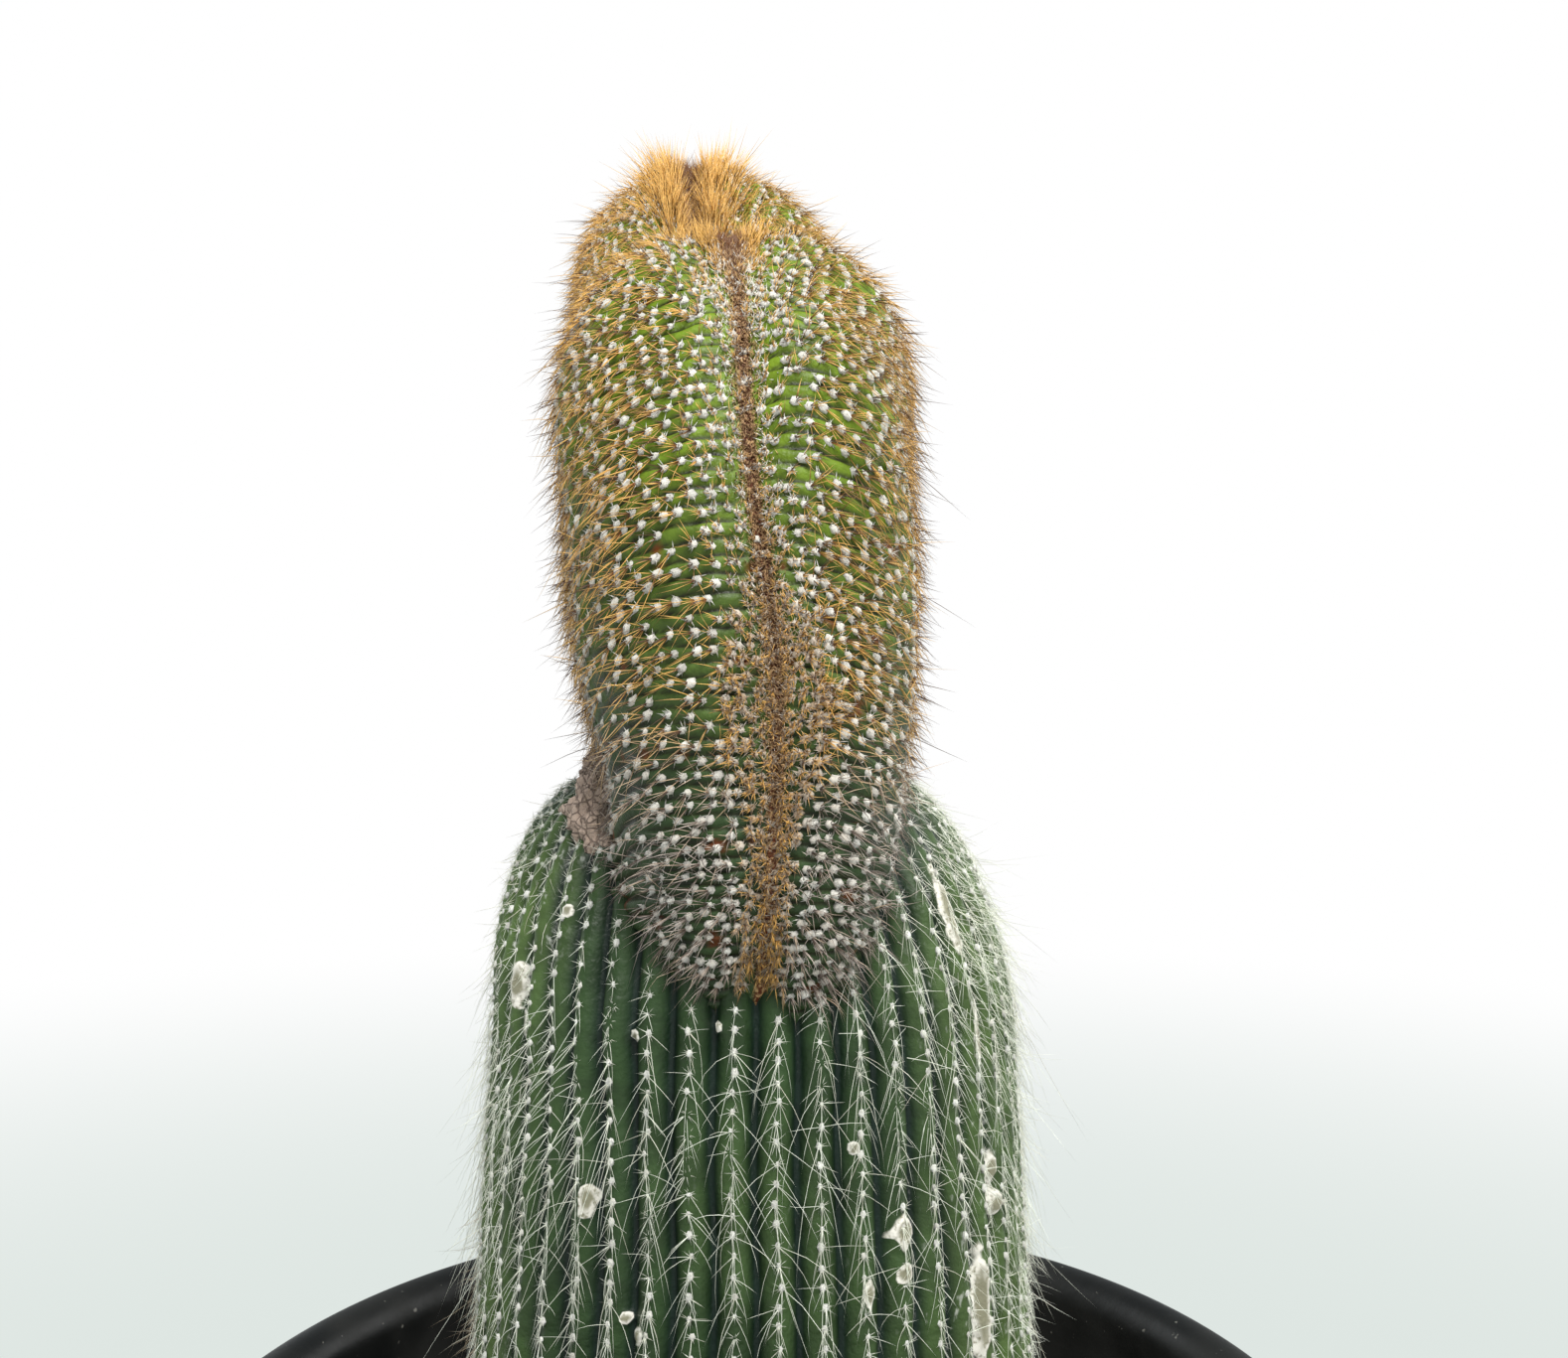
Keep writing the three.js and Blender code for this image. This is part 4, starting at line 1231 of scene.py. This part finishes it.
class CACTUS_OT_stem_spines(bpy.types.Operator):
    """Set the stem's areoles: white felt, short fine radials and long crossing bristles"""
    bl_idname = "cactus.stem_spines"
    bl_label = "Stem areoles and bristles"

    def execute(self, context):
        stem = context.scene.cactus_stem
        turn, z, (point, sideways, upward, outward) = stem_areoles()
        rng = np.random.default_rng(47)
        total = len(turn)
        sizes = STEM_PAD * rng.uniform(0.75, 1.2, (total, 1))
        traits = {"old": np.clip(rng.normal(0.12, 0.12, total), 0, 1), "tone": rng.uniform(0, 1, total)}
        pads = put_pads("stem_areoles", point - 0.15 * MM * outward, sideways, upward, outward, sizes, 48,
                        traits)
        finish_piece(pads, wool_material("stem wool", stem.wool, stem.old_hair))

        material = bristle_material()
        pick = np.repeat(np.arange(total), stem.radials)
        number = len(pick)
        spin = np.tile(np.arange(stem.radials) * (FULL_TURN / stem.radials), total)
        spin = spin + rng.normal(0, 0.25, number)
        raised = np.radians(rng.uniform(12, 40, number))[:, None]
        flat = np.cos(spin)[:, None] * sideways[pick] + np.sin(spin)[:, None] * upward[pick]
        directions = np.cos(raised) * flat + np.sin(raised) * outward[pick]
        reach = rng.uniform(2.0, 4.2, number) * MM
        traits = {"tone": rng.uniform(0.3, 1, number), "old": rng.uniform(0, 0.3, number)}
        radials = put_strands("stem_radials", point[pick] + 0.2 * MM * outward[pick], directions, reach,
                              0.11 * MM, 0.05 * outward[pick], 1, traits)
        finish_piece(radials, material)

        self.bristles(rng, material)
        self.hair_patches(material)
        return {"FINISHED"}

    def bristles(self, rng, material):
        """Long bristles that hang and cross, combed to one side in a patch and sparse on the shoulder."""
        turn, z, (point, sideways, upward, outward) = stem_areoles()
        pick = np.repeat(np.arange(len(turn)), bpy.context.scene.cactus_stem.bristles)
        turn, z, point, sideways, upward, outward = (
            values[pick] for values in (turn, z, point, sideways, upward, outward))
        number = len(pick)
        _, soil, _, top = stem_heights()
        side = np.where(rng.uniform(size=number) < 0.5, -1.0, 1.0)
        hanging = rng.uniform(size=number) < 0.7
        swing = np.where(hanging, rng.normal(0, 28, number), rng.uniform(5, 105, number) * side)
        degrees = (np.degrees(turn) + 270) % 360 - 180
        combed = np.exp(-((degrees - COMBED_PLACE[0]) / COMBED_SPREAD[0]) ** 2)
        combed = combed * np.exp(-((z - top - COMBED_PLACE[1]) / COMBED_SPREAD[1]) ** 2)
        combed = combed * (rng.uniform(size=number) < COMBED_SHARE)
        swing = np.radians(swing * (1 - combed) - rng.normal(*COMBED_LEAN, number) * combed)[:, None]
        raised = np.radians(rng.uniform(4, 26, number))[:, None]
        flat = np.sin(swing) * sideways - np.cos(swing) * upward
        height = z - soil
        hairy = smoothstep(70 * MM, 150 * MM, height) * (1 - smoothstep(215 * MM, 245 * MM, height))
        reach = np.minimum(rng.lognormal(1.95 + 0.6 * hairy, 0.5), LONGEST_BRISTLE) * MM
        bends = 0.16 * rng.normal(size=(number, 3)) - 0.25 * np.sin(swing) * sideways
        bends[:, 2] -= 0.25
        bare = smoothstep(BARE_FROM, BARE_TO, z - top) * (1 - smoothstep(-20, 10, degrees))
        reach = reach * (1 + 0.6 * combed) * (1 - 0.45 * bare)
        bends *= (smoothstep(4 * MM, 20 * MM, reach) * (1 - 0.75 * combed))[:, None]
        traits = {"tone": rng.uniform(0.4, 1, number), "old": np.clip(rng.normal(0.1, 0.15, number), 0, 1)}
        directions = np.cos(raised) * flat + np.sin(raised) * outward
        radii = rng.uniform(*BRISTLE_RADII, number)
        grown = rng.uniform(size=number) > 0.6 * bare
        left = np.cos(turn) < 0
        for name, chosen in (("stem_bristles_left", left & grown), ("stem_bristles_right", ~left & grown)):
            piece = put_strands(name, point + 0.25 * MM * outward, directions, reach, radii, bends, 4,
                                traits, np.flatnonzero(chosen))
            finish_piece(piece, material)

    def hair_patches(self, material):
        """Matted hair low on the left side and long cream hair over the right and left shoulders."""
        rim = bpy.context.scene.cactus_pot.height
        _, soil, _, top = stem_heights()
        rng = np.random.default_rng(49)
        parts = []
        for degrees, spread, rise, fall, number, mean, age in HAIR_PATCHES:
            turn = np.radians(rng.normal(degrees - 90, spread, number))
            z = np.clip(rim + rng.normal(rise, fall, number) * MM, soil + 4 * MM, top - 6 * MM)
            point, sideways, upward, outward = stem_frame(turn, z)
            mix = rng.normal(size=(number, 3))
            flat = mix[:, :1] * sideways - (0.4 + np.abs(mix[:, 1:2])) * upward
            flat = flat + (0.4 + 0.6 * np.abs(mix[:, 2:])) * outward
            reach = mean * rng.lognormal(0, 0.35, number) * MM
            parts.append((point - 1.5 * MM * outward, flat, reach, rng.uniform(0.09, 0.15, number) * MM,
                          0.25 * rng.normal(size=(number, 3)), rng.uniform(0.3, 1, number),
                          np.clip(rng.normal(age, 0.15, number), 0, 1)))
        roots, flat, reach, radii, bends, tone, old = (np.concatenate(column) for column in zip(*parts))
        piece = put_strands("stem_hair", roots, flat, reach, radii, bends, 3, {"tone": tone, "old": old},
                            np.flatnonzero(~inside_crest(roots)))
        finish_piece(piece, material)


# ---------------------------------------------------------------- crest

LINE_SAMPLES = 400
POINTS_PER_CREST_RIB = 6
ARCH_POINTS, FLANK_POINTS, HIDDEN_COLUMNS = 32, 16, 12
FLANK_END = 0.985  # |u| of the last row before the hub's point
RIB_FADE = 4 * MM  # half the length over which the ribs fade out where the line enters the stem
ROSETTES_END = (45 * MM, 75 * MM)  # heights over the stem's top between which the rosettes end
BULGE_HEIGHT, BULGE_SPREAD = 25 * MM, 24 * MM  # where their band is widest
ROSETTE_SPIKES, PAD_SPIKES = 12, 8
CENTRAL_SHARE, STRAY_SHARE = 0.22, 0.012
SPINE_PIECES = 4
WOOL_STRANDS, TUFT_STRANDS = 21000, 13500
TUFT_ZONE = (150 * MM, 205 * MM)  # heights over the stem's top between which the tufts grow longer
CORK_ROWS, CORK_COLUMNS, POLE_ANGLE = 60, 96, 0.02
CORK_SIZES = np.array([12, 19, 22]) * MM
CORK_PLACE = np.array([-44, -37, -15]) * MM  # from the axis, and from the stem's top in height


def youth(points):
    """0 low on the crest to 1 near its top."""
    return smoothstep(-10 * MM, 120 * MM, over_top(points) + 8 * MM * ripple(points, 80 * MM, 71))


def crest_split(points):
    """Side to side place of the lower growing line, which parts left from right."""
    s = np.linspace(*crest_ends()[:2], LINE_SAMPLES)
    line = crest_frame(s, np.full(LINE_SAMPLES, LINE_U))[0]
    front = line[line[:, 1] < 0]
    order = np.argsort(front[:, 2])
    return np.interp(points[:, 2], front[order, 2], front[order, 0])


def bronze(distance, points):
    """How far an areole is one of the golden-brown rosettes that line the lower growing line.

    Their band is widest a little over the stem's top, and wider on the right than on the left."""
    rise = over_top(points)
    low = 1 - smoothstep(*ROSETTES_END, rise)
    bulge = np.exp(-((rise - BULGE_HEIGHT) / BULGE_SPREAD) ** 2)
    width = 9 * MM + 10 * MM * bulge * np.where(points[:, 0] > crest_split(points), 1.2, 0.8)
    return low * (1 - smoothstep(0.4 * width, 1.2 * width, distance)) * (points[:, 1] < 0)


class CACTUS_OT_crest(bpy.types.Operator):
    """Grow the crested fan with its fine ribs that run together towards the hub"""
    bl_idname = "cactus.crest"
    bl_label = "Crest"

    def execute(self, context):
        crest = context.scene.cactus_crest
        start, end, total = crest_ends()
        fine = int((end - start) / crest.rib_pitch * POINTS_PER_CREST_RIB)
        s_values = np.concatenate([np.linspace(0, start, HIDDEN_COLUMNS, endpoint=False),
                                   np.linspace(start, end, fine, endpoint=False),
                                   np.linspace(end, total, HIDDEN_COLUMNS, endpoint=False)])
        arch = ARCH_SHARE * np.linspace(0, 1, ARCH_POINTS) ** 1.12
        flank = np.linspace(ARCH_SHARE, FLANK_END, FLANK_POINTS)[1:]
        right = np.concatenate([arch[1:], flank])
        u_values = np.concatenate([-right[::-1], [LINE_U], right])
        columns = len(s_values)
        u = np.repeat(u_values, columns)
        s = np.tile(s_values, len(u_values))
        point, outward, out_share = crest_frame(s, u)
        depth, ridge = crest_relief(s, u, out_share)
        shown = smoothstep(start - RIB_FADE, start + RIB_FADE, s)
        shown = shown * (1 - smoothstep(end - RIB_FADE, end + RIB_FADE, s))
        depth = depth * shown
        fine_lumps = 0.35 * MM * ripple(point, 12 * MM, 72) * shown * smoothstep(0, 0.05, np.abs(u))
        point = point + outward * (fine_lumps - depth)[:, None]
        hub_half, hub = crest.hub_half, crest_section(np.zeros(1))[5]
        points = np.concatenate([point, [[-hub_half, 0, hub], [hub_half, 0, hub]]])
        distance = np.abs(u) / ARCH_SHARE * np.pi / 2 * crest.half
        # This height share paints the crest's skin lighter at the top: partly age, partly painted light.
        young_and_lit = youth(point)
        line = np.exp(-(distance / ((2.2 + 0.3 * (1 - young_and_lit)) * MM)) ** 2)
        dry = smoothstep(2.1, 2.5, ripple(point, 16 * MM, 73) + 0.5 * ripple(point, 6 * MM, 74))
        traits = {key: np.append(values, [0, 0])
                  for key, values in (("rib", ridge), ("young_and_lit", young_and_lit), ("line", line), ("dry", dry))}
        piece = put_mesh("crest_flesh", points, capped_faces(len(u_values), columns), traits)
        finish_piece(piece, crest_material())
        return {"FINISHED"}


class CACTUS_OT_crest_areoles(bpy.types.Operator):
    """Set the crest's felt pads, white above and golden brown along the lower growing line"""
    bl_idname = "cactus.crest_areoles"
    bl_label = "Crest areoles"

    def execute(self, context):
        crest = context.scene.cactus_crest
        s, u, distance = crest_areoles()
        point, away, along, normal = crest_axes(s, u)
        rng = np.random.default_rng(81)
        total = len(s)
        old = bronze(distance, point)
        near = 1 - smoothstep(2 * MM, 12 * MM, distance)
        width = (1.42 - 0.2 * near - 0.2 * old) * rng.uniform(0.8, 1.2, total) * MM
        sizes = np.column_stack([width * 1.15, width * 0.95, width * 0.8])
        bronzed = 0.65 * old * rng.uniform(0.6, 1.4, total)
        worn = 0.25 * (1 - youth(point)) * rng.uniform(0, 1, total)
        age = np.clip(bronzed + worn, 0, 1)
        pads = put_pads("crest_areoles", point - 0.1 * MM * normal, away, along, normal, sizes, 82,
                        {"old": age, "tone": rng.uniform(0, 1, total)})
        finish_piece(pads, wool_material("crest wool", crest.wool, crest.bronze))

        # Short white spikes stand out of each pad.
        pick = np.repeat(np.arange(total), np.where(old > 0.5, ROSETTE_SPIKES, PAD_SPIKES))
        number = len(pick)
        spread = rng.normal(size=(number, 2)) * 1.1
        directions = normal[pick] + spread[:, :1] * away[pick] + spread[:, 1:] * along[pick]
        spots = rng.uniform(-0.8, 0.8, (number, 2)) * width[pick][:, None]
        roots = point[pick] + spots[:, :1] * away[pick] + spots[:, 1:] * along[pick]
        reach = rng.uniform(1.5, 3.0, number) * MM
        traits = {"tone": rng.uniform(0.2, 1, number),
                  "old": np.clip(age[pick] * rng.uniform(0.6, 1.5, number), 0, 1)}
        spikes = put_strands("crest_spikes", roots, directions, reach, 0.24 * MM, np.zeros(3), 1, traits)
        finish_piece(spikes, wool_material("crest spikes", crest.wool, crest.bronze))
        return {"FINISHED"}


def line_places(rng, number, ends, spread):
    """Random places beside the growing line, between two arc lengths.

    spread gives how far they scatter across the line, from points on it. Returns the arc lengths, the
    points on the line, the distances from it and the axes at the places."""
    s = rng.uniform(*ends, number)
    base = crest_frame(s, np.full(number, LINE_U))[0]
    distance = np.abs(rng.normal(0, 1, number)) * spread(base)
    u = np.where(rng.uniform(size=number) < 0.5, -1, 1) * crest_across(distance, s)
    return s, base, distance, crest_axes(s, u)


class CACTUS_OT_crest_spines(bpy.types.Operator):
    """Set the crest's spines, which sweep away from the growing line, its wool and its tufts"""
    bl_idname = "cactus.crest_spines"
    bl_label = "Crest spines"

    def execute(self, context):
        s, u, distance = crest_areoles()
        point, away, along, normal = crest_axes(s, u)
        rng = np.random.default_rng(91)
        pick = np.repeat(np.arange(len(s)), context.scene.cactus_crest.spines)
        number = len(pick)
        near_gold = bronze(distance, point)[pick]
        u, distance, point, away, along, normal = (
            values[pick] for values in (u, distance, point, away, along, normal))
        rise = over_top(point)
        far = smoothstep(4 * MM, 27 * MM, distance)
        swing = rng.normal(0, 1, number) * np.radians(26 + 40 * (1 - far))
        central = rng.uniform(size=number) < CENTRAL_SHARE
        raised = np.where(central, rng.uniform(45, 80, number), rng.uniform(6, 32, number) + 26 * (1 - far))
        raised = np.radians(raised)[:, None]
        flat = np.cos(swing)[:, None] * away + np.sin(swing)[:, None] * along
        directions = np.cos(raised) * flat + np.sin(raised) * normal
        directions[:, 2] -= 0.12 * far * (1 - 0.7 * smoothstep(0.4, 0.9, normal[:, 2]))
        reach = (2.6 + 7.4 * far) * rng.lognormal(0, 0.25, number) * np.where(central, 0.8, 1.0) * MM
        low = 1 - smoothstep(-25 * MM, 30 * MM, rise)
        fringe = 1 - smoothstep(-42 * MM, -26 * MM, rise)
        directions[:, 2] -= 0.5 * fringe
        stray = rng.uniform(size=number) < STRAY_SHARE
        reach = np.where(stray, reach * 1.7, reach)
        bends = 0.07 * rng.normal(size=(number, 3)) * (1 + 2.5 * low)[:, None]
        bends[:, 2] -= 0.08 * far + 0.4 * fringe
        radii = rng.uniform(0.12, 0.18, number) * MM
        gold = smoothstep(-15 * MM, 40 * MM, rise) + near_gold
        gold = np.clip(gold * 1.05 + rng.normal(0, 0.14, number), 0, 1)
        dark = central & (rng.uniform(size=number) > 0.7 * smoothstep(110 * MM, 170 * MM, rise))
        tone = np.where(dark, 0.0, rng.uniform(0.1, 1, number))
        traits = {"tone": tone, "gold": np.where(dark, 0.5 * gold, gold)}
        thinned = 1 - 0.30 * far - 0.30 * far * (1 - smoothstep(10 * MM, 60 * MM, rise))
        grown = rng.uniform(size=number) < thinned
        order = np.argsort(np.arctan2(point[:, 1], u), kind="stable")
        order = order[grown[order]]
        bounds = np.linspace(0, len(order), SPINE_PIECES + 1).astype(int)
        material = crest_spine_material()
        for index in range(SPINE_PIECES):
            piece = put_strands(f"crest_spines_{index + 1}", point + 0.3 * MM * normal, directions, reach,
                                radii, bends, 2, traits, order[bounds[index]:bounds[index + 1]])
            finish_piece(piece, material)
        rng = np.random.default_rng(92)
        self.line_wool(rng)
        self.gold_tufts(rng, material)
        return {"FINISHED"}

    def line_wool(self, rng):
        """Short dense wool along the growing line, with white hairs at its sides higher up."""
        number = WOOL_STRANDS
        _, base, distance, (point, away, along, normal) = line_places(
            rng, number, crest_ends()[:2], lambda line: (2.8 - 1.2 * (1 - youth(line))) * MM)
        lean = rng.normal(size=(number, 2)) * 0.6
        directions = normal + (0.25 + lean[:, :1]) * away + lean[:, 1:] * along
        reach = 2.1 * rng.lognormal(0, 0.3, number) * MM
        sparse = 1 - smoothstep(-15 * MM, 15 * MM, over_top(base))
        clear = ~inside_stem(point) & (rng.uniform(size=number) > 0.75 * sparse)
        tone = rng.uniform(0, 0.9, number) * (0.45 + 0.55 * smoothstep(0.5 * MM, 3 * MM, distance))
        white = 0.55 * youth(base) * smoothstep(1.6 * MM, 4.2 * MM, distance)
        old = (rng.uniform(size=number) > white).astype(float)
        piece = put_strands("crest_line_wool", point, directions, reach, 0.17 * MM, np.zeros(3), 1,
                            {"tone": tone, "old": old}, np.flatnonzero(clear))
        finish_piece(piece, line_wool_material())

    def gold_tufts(self, rng, material):
        """Long golden tufts over the lobes, which part at the line and fall to both sides."""
        number = TUFT_STRANDS
        knots, t, table = crest_line()
        lobes = np.interp(LOBE_KNOTS / len(knots), t, table)
        s, base, distance, (point, away, along, normal) = line_places(
            rng, number, lobes, lambda line: (3.4 + 3.6 * smoothstep(*TUFT_ZONE, over_top(line))) * MM)
        high = smoothstep(*TUFT_ZONE, over_top(base))
        open_out = smoothstep(0, 14 * MM, distance)[:, None]
        lean = rng.normal(size=(number, 2)) * 0.32
        directions = normal + (0.05 + 0.55 * open_out + lean[:, :1]) * away + lean[:, 1:] * along
        reach = 4.0 + 7.0 * smoothstep(1 * MM, 8 * MM, distance) + 2.0 * high
        reach = reach * rng.lognormal(0, 0.22, number) * MM
        ends = smoothstep(lobes[0], lobes[0] + 25 * MM, s) * (1 - smoothstep(lobes[1] - 40 * MM, lobes[1], s))
        reach *= (0.35 + 0.65 * ends) * (0.7 + 0.3 * high)
        tone = 0.95 * smoothstep(1.5 * MM, 7 * MM, distance) * rng.uniform(0.2, 1, number)
        radii = rng.uniform(0.13, 0.20, number) * MM
        bends = 0.06 * rng.normal(size=(number, 3))
        piece = put_strands("crest_gold_tufts", point, directions, reach, radii, bends, 2,
                            {"tone": tone, "gold": np.ones(number)})
        finish_piece(piece, material)


class CACTUS_OT_cork(bpy.types.Operator):
    """Add the corky bark where the crest's left side meets the stem"""
    bl_idname = "cactus.cork"
    bl_label = "Cork"

    def execute(self, context):
        polar = np.linspace(POLE_ANGLE, np.pi - POLE_ANGLE, CORK_ROWS)[:, None]
        turn = np.arange(CORK_COLUMNS)[None] * (FULL_TURN / CORK_COLUMNS)
        level = -np.cos(polar) + 0 * turn
        ball = np.stack([np.sin(polar) * np.cos(turn), np.sin(polar) * np.sin(turn), level], axis=-1)
        ball = np.concatenate([ball.reshape(-1, 3), [[0, 0, -1], [0, 0, 1]]])
        points = ball * CORK_SIZES + (CORK_PLACE + [0, 0, stem_heights()[3]])
        flakes = ripple(points, 10 * MM, 75) + 0.7 * np.abs(ripple(points, 3.5 * MM, 76))
        points = points + ball * flakes[:, None] * 1.3 * MM
        piece = put_mesh("crest_cork", points, capped_faces(CORK_ROWS, CORK_COLUMNS))
        finish_piece(piece, cork_material())
        return {"FINISHED"}


# ---------------------------------------------------------------- stage

FLOOR_SHADE = (0.6, 0.66, 0.64)
# The floor's glow is grey near the pot and white far off: painted shade on the floor.
SHADED_NEAR_GLOW, FAR_GLOW = (0.73, 0.79, 0.76), (1.0, 1.0, 1.0)
GLOW_REACH = 3.5  # the glow is white from this many times the fade's end
FILL_TINT, FILL_STRENGTH = (0.90, 0.97, 1.0, 1), 0.42
AIM_RISE = 80 * MM  # how far over the stem's top the lights point
# Soft lights: name, place, size, power in watts and colour.
SOFT_LIGHTS = (
    ("key", (0.35, -1.25, 1.95), 0.7, 50, (1.0, 0.99, 0.96)),
    ("back left", (-1.3, 0.9, 1.2), 1.2, 10, (0.96, 0.99, 1.0)),
    ("back right", (1.4, 0.5, 1.1), 1.2, 16, (1.0, 1.0, 0.98)),
)


def floor_material():
    """Pale floor that turns into light with distance, at first a grey glow of painted shade, and that light
    into white.
    """
    stage = bpy.context.scene.cactus_stage
    material, tree, shader = new_material("floor")
    _, height = weathering(tree, 0.03, 1.0)
    place = new_node(tree, "ShaderNodeTexCoord").outputs["Object"]
    far = new_node(tree, "ShaderNodeVectorMath", {0: place}, operation="LENGTH").outputs["Value"]
    fade = remap(tree, far, stage.fade_start, stage.fade_end)
    patches = remap(tree, noise(tree, 0.4, 2.0), 0.3, 0.7, 0.0, 0.06)
    tint = blend(tree, patches, stage.floor, FLOOR_SHADE)
    dress(tree, shader, tint, 0.8, height, 0.0002)
    far_off = remap(tree, far, stage.fade_end, GLOW_REACH * stage.fade_end)
    glow = blend(tree, far_off, SHADED_NEAR_GLOW, FAR_GLOW)
    white = new_node(tree, "ShaderNodeEmission", {"Color": glow, "Strength": 1.0})
    mixer = new_node(tree, "ShaderNodeMixShader", {0: fade, 1: shader.outputs[0], 2: white.outputs[0]})
    output = next(node for node in tree.nodes if node.type == "OUTPUT_MATERIAL")
    tree.links.new(mixer.outputs[0], output.inputs["Surface"])
    return material


def soft_light(name, place, target, size, power, tint):
    """A square soft light that points at a target."""
    light = bpy.data.lights.new(name, "AREA")
    light.shape, light.size, light.energy, light.color = "SQUARE", size, power, tint
    lamp = bpy.data.objects.new(name, light)
    lamp.location = place
    aim = Vector(target) - Vector(place)
    lamp.rotation_euler = aim.to_track_quat("-Z", "Y").to_euler()
    bpy.context.collection.objects.link(lamp)


class CACTUS_OT_stage(bpy.types.Operator):
    """Set the pale floor, the soft lights and the camera"""
    bl_idname = "cactus.stage"
    bl_label = "Stage"

    def execute(self, context):
        scene = context.scene
        stage = scene.cactus_stage
        rows = stage.floor_radius * (np.linspace(0, 1, 24)[1:] ** 1.6)
        columns = 96
        turns = np.arange(columns) * (FULL_TURN / columns)
        rings = np.stack([rows[:, None] * np.cos(turns), rows[:, None] * np.sin(turns),
                          np.zeros((len(rows), columns))], axis=-1).reshape(-1, 3)
        points = np.concatenate([rings, [[0, 0, 0]]])
        quads = ring_faces(len(rows), columns)[:, ::-1]
        floor = put_mesh("floor", points, [quads, fan_faces(0, columns, len(points) - 1, True)])
        floor.data.materials.append(floor_material())

        world = bpy.data.worlds.new("white room")
        world.use_nodes = True
        tree = world.node_tree
        tree.nodes.clear()
        seen = new_node(tree, "ShaderNodeBackground", {"Color": (1, 1, 1, 1), "Strength": 1.0})
        fill = new_node(tree, "ShaderNodeBackground", {"Color": FILL_TINT, "Strength": FILL_STRENGTH})
        path = new_node(tree, "ShaderNodeLightPath")
        mixer = new_node(tree, "ShaderNodeMixShader",
                         {0: path.outputs["Is Camera Ray"], 1: fill.outputs[0], 2: seen.outputs[0]})
        output = tree.nodes.new("ShaderNodeOutputWorld")
        tree.links.new(mixer.outputs[0], output.inputs["Surface"])
        scene.world = world

        target = (0, 0, stem_heights()[3] + AIM_RISE)
        for name, place, size, power, tint in SOFT_LIGHTS:
            soft_light(name, place, target, size, power, tint)

        camera = bpy.data.cameras.new("camera")
        camera.lens, camera.sensor_width, camera.clip_start = stage.lens, 36, 0.02
        eye = bpy.data.objects.new("camera", camera)
        eye.location = (stage.camera_side, -stage.camera_front, stage.camera_height)
        eye.rotation_euler = (math.pi / 2, 0, 0)
        context.collection.objects.link(eye)
        scene.camera = eye
        scene.view_settings.view_transform = "Standard"
        return {"FINISHED"}


# ---------------------------------------------------------------- panel and running

SETTINGS = (
    ("cactus_pot", PotSettings), ("cactus_soil", SoilSettings), ("cactus_stem", StemSettings),
    ("cactus_crest", CrestSettings), ("cactus_stage", StageSettings),
)
OPERATORS = (
    CACTUS_OT_pot, CACTUS_OT_soil, CACTUS_OT_stem, CACTUS_OT_stem_spines, CACTUS_OT_crest,
    CACTUS_OT_crest_areoles, CACTUS_OT_crest_spines, CACTUS_OT_cork, CACTUS_OT_stage,
)


class CACTUS_PT_panel(bpy.types.Panel):
    """Lists the builders and their sizes"""
    bl_label = "Crested cactus"
    bl_idname = "CACTUS_PT_panel"
    bl_space_type = "VIEW_3D"
    bl_region_type = "UI"
    bl_category = "Cactus"

    def draw(self, context):
        for operator in OPERATORS:
            self.layout.operator(operator.bl_idname)
        for name, group in SETTINGS:
            box = self.layout.box()
            box.label(text=group.__name__)
            for key in group.__annotations__:
                box.prop(getattr(context.scene, name), key)


def register():
    """Registers the settings, the builders and the panel."""
    for name, group in SETTINGS:
        bpy.utils.register_class(group)
        setattr(bpy.types.Scene, name, PointerProperty(type=group))
    for item in (*OPERATORS, CACTUS_PT_panel):
        bpy.utils.register_class(item)


def unregister():
    """Takes them away again, in the other order."""
    for item in (CACTUS_PT_panel, *reversed(OPERATORS)):
        bpy.utils.unregister_class(item)
    for name, group in reversed(SETTINGS):
        delattr(bpy.types.Scene, name)
        bpy.utils.unregister_class(group)


def main():
    """Registers the add-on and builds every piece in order."""
    register()
    for operator in OPERATORS:
        group, name = operator.bl_idname.split(".")
        getattr(getattr(bpy.ops, group), name)()


if __name__ == "__main__":
    main()
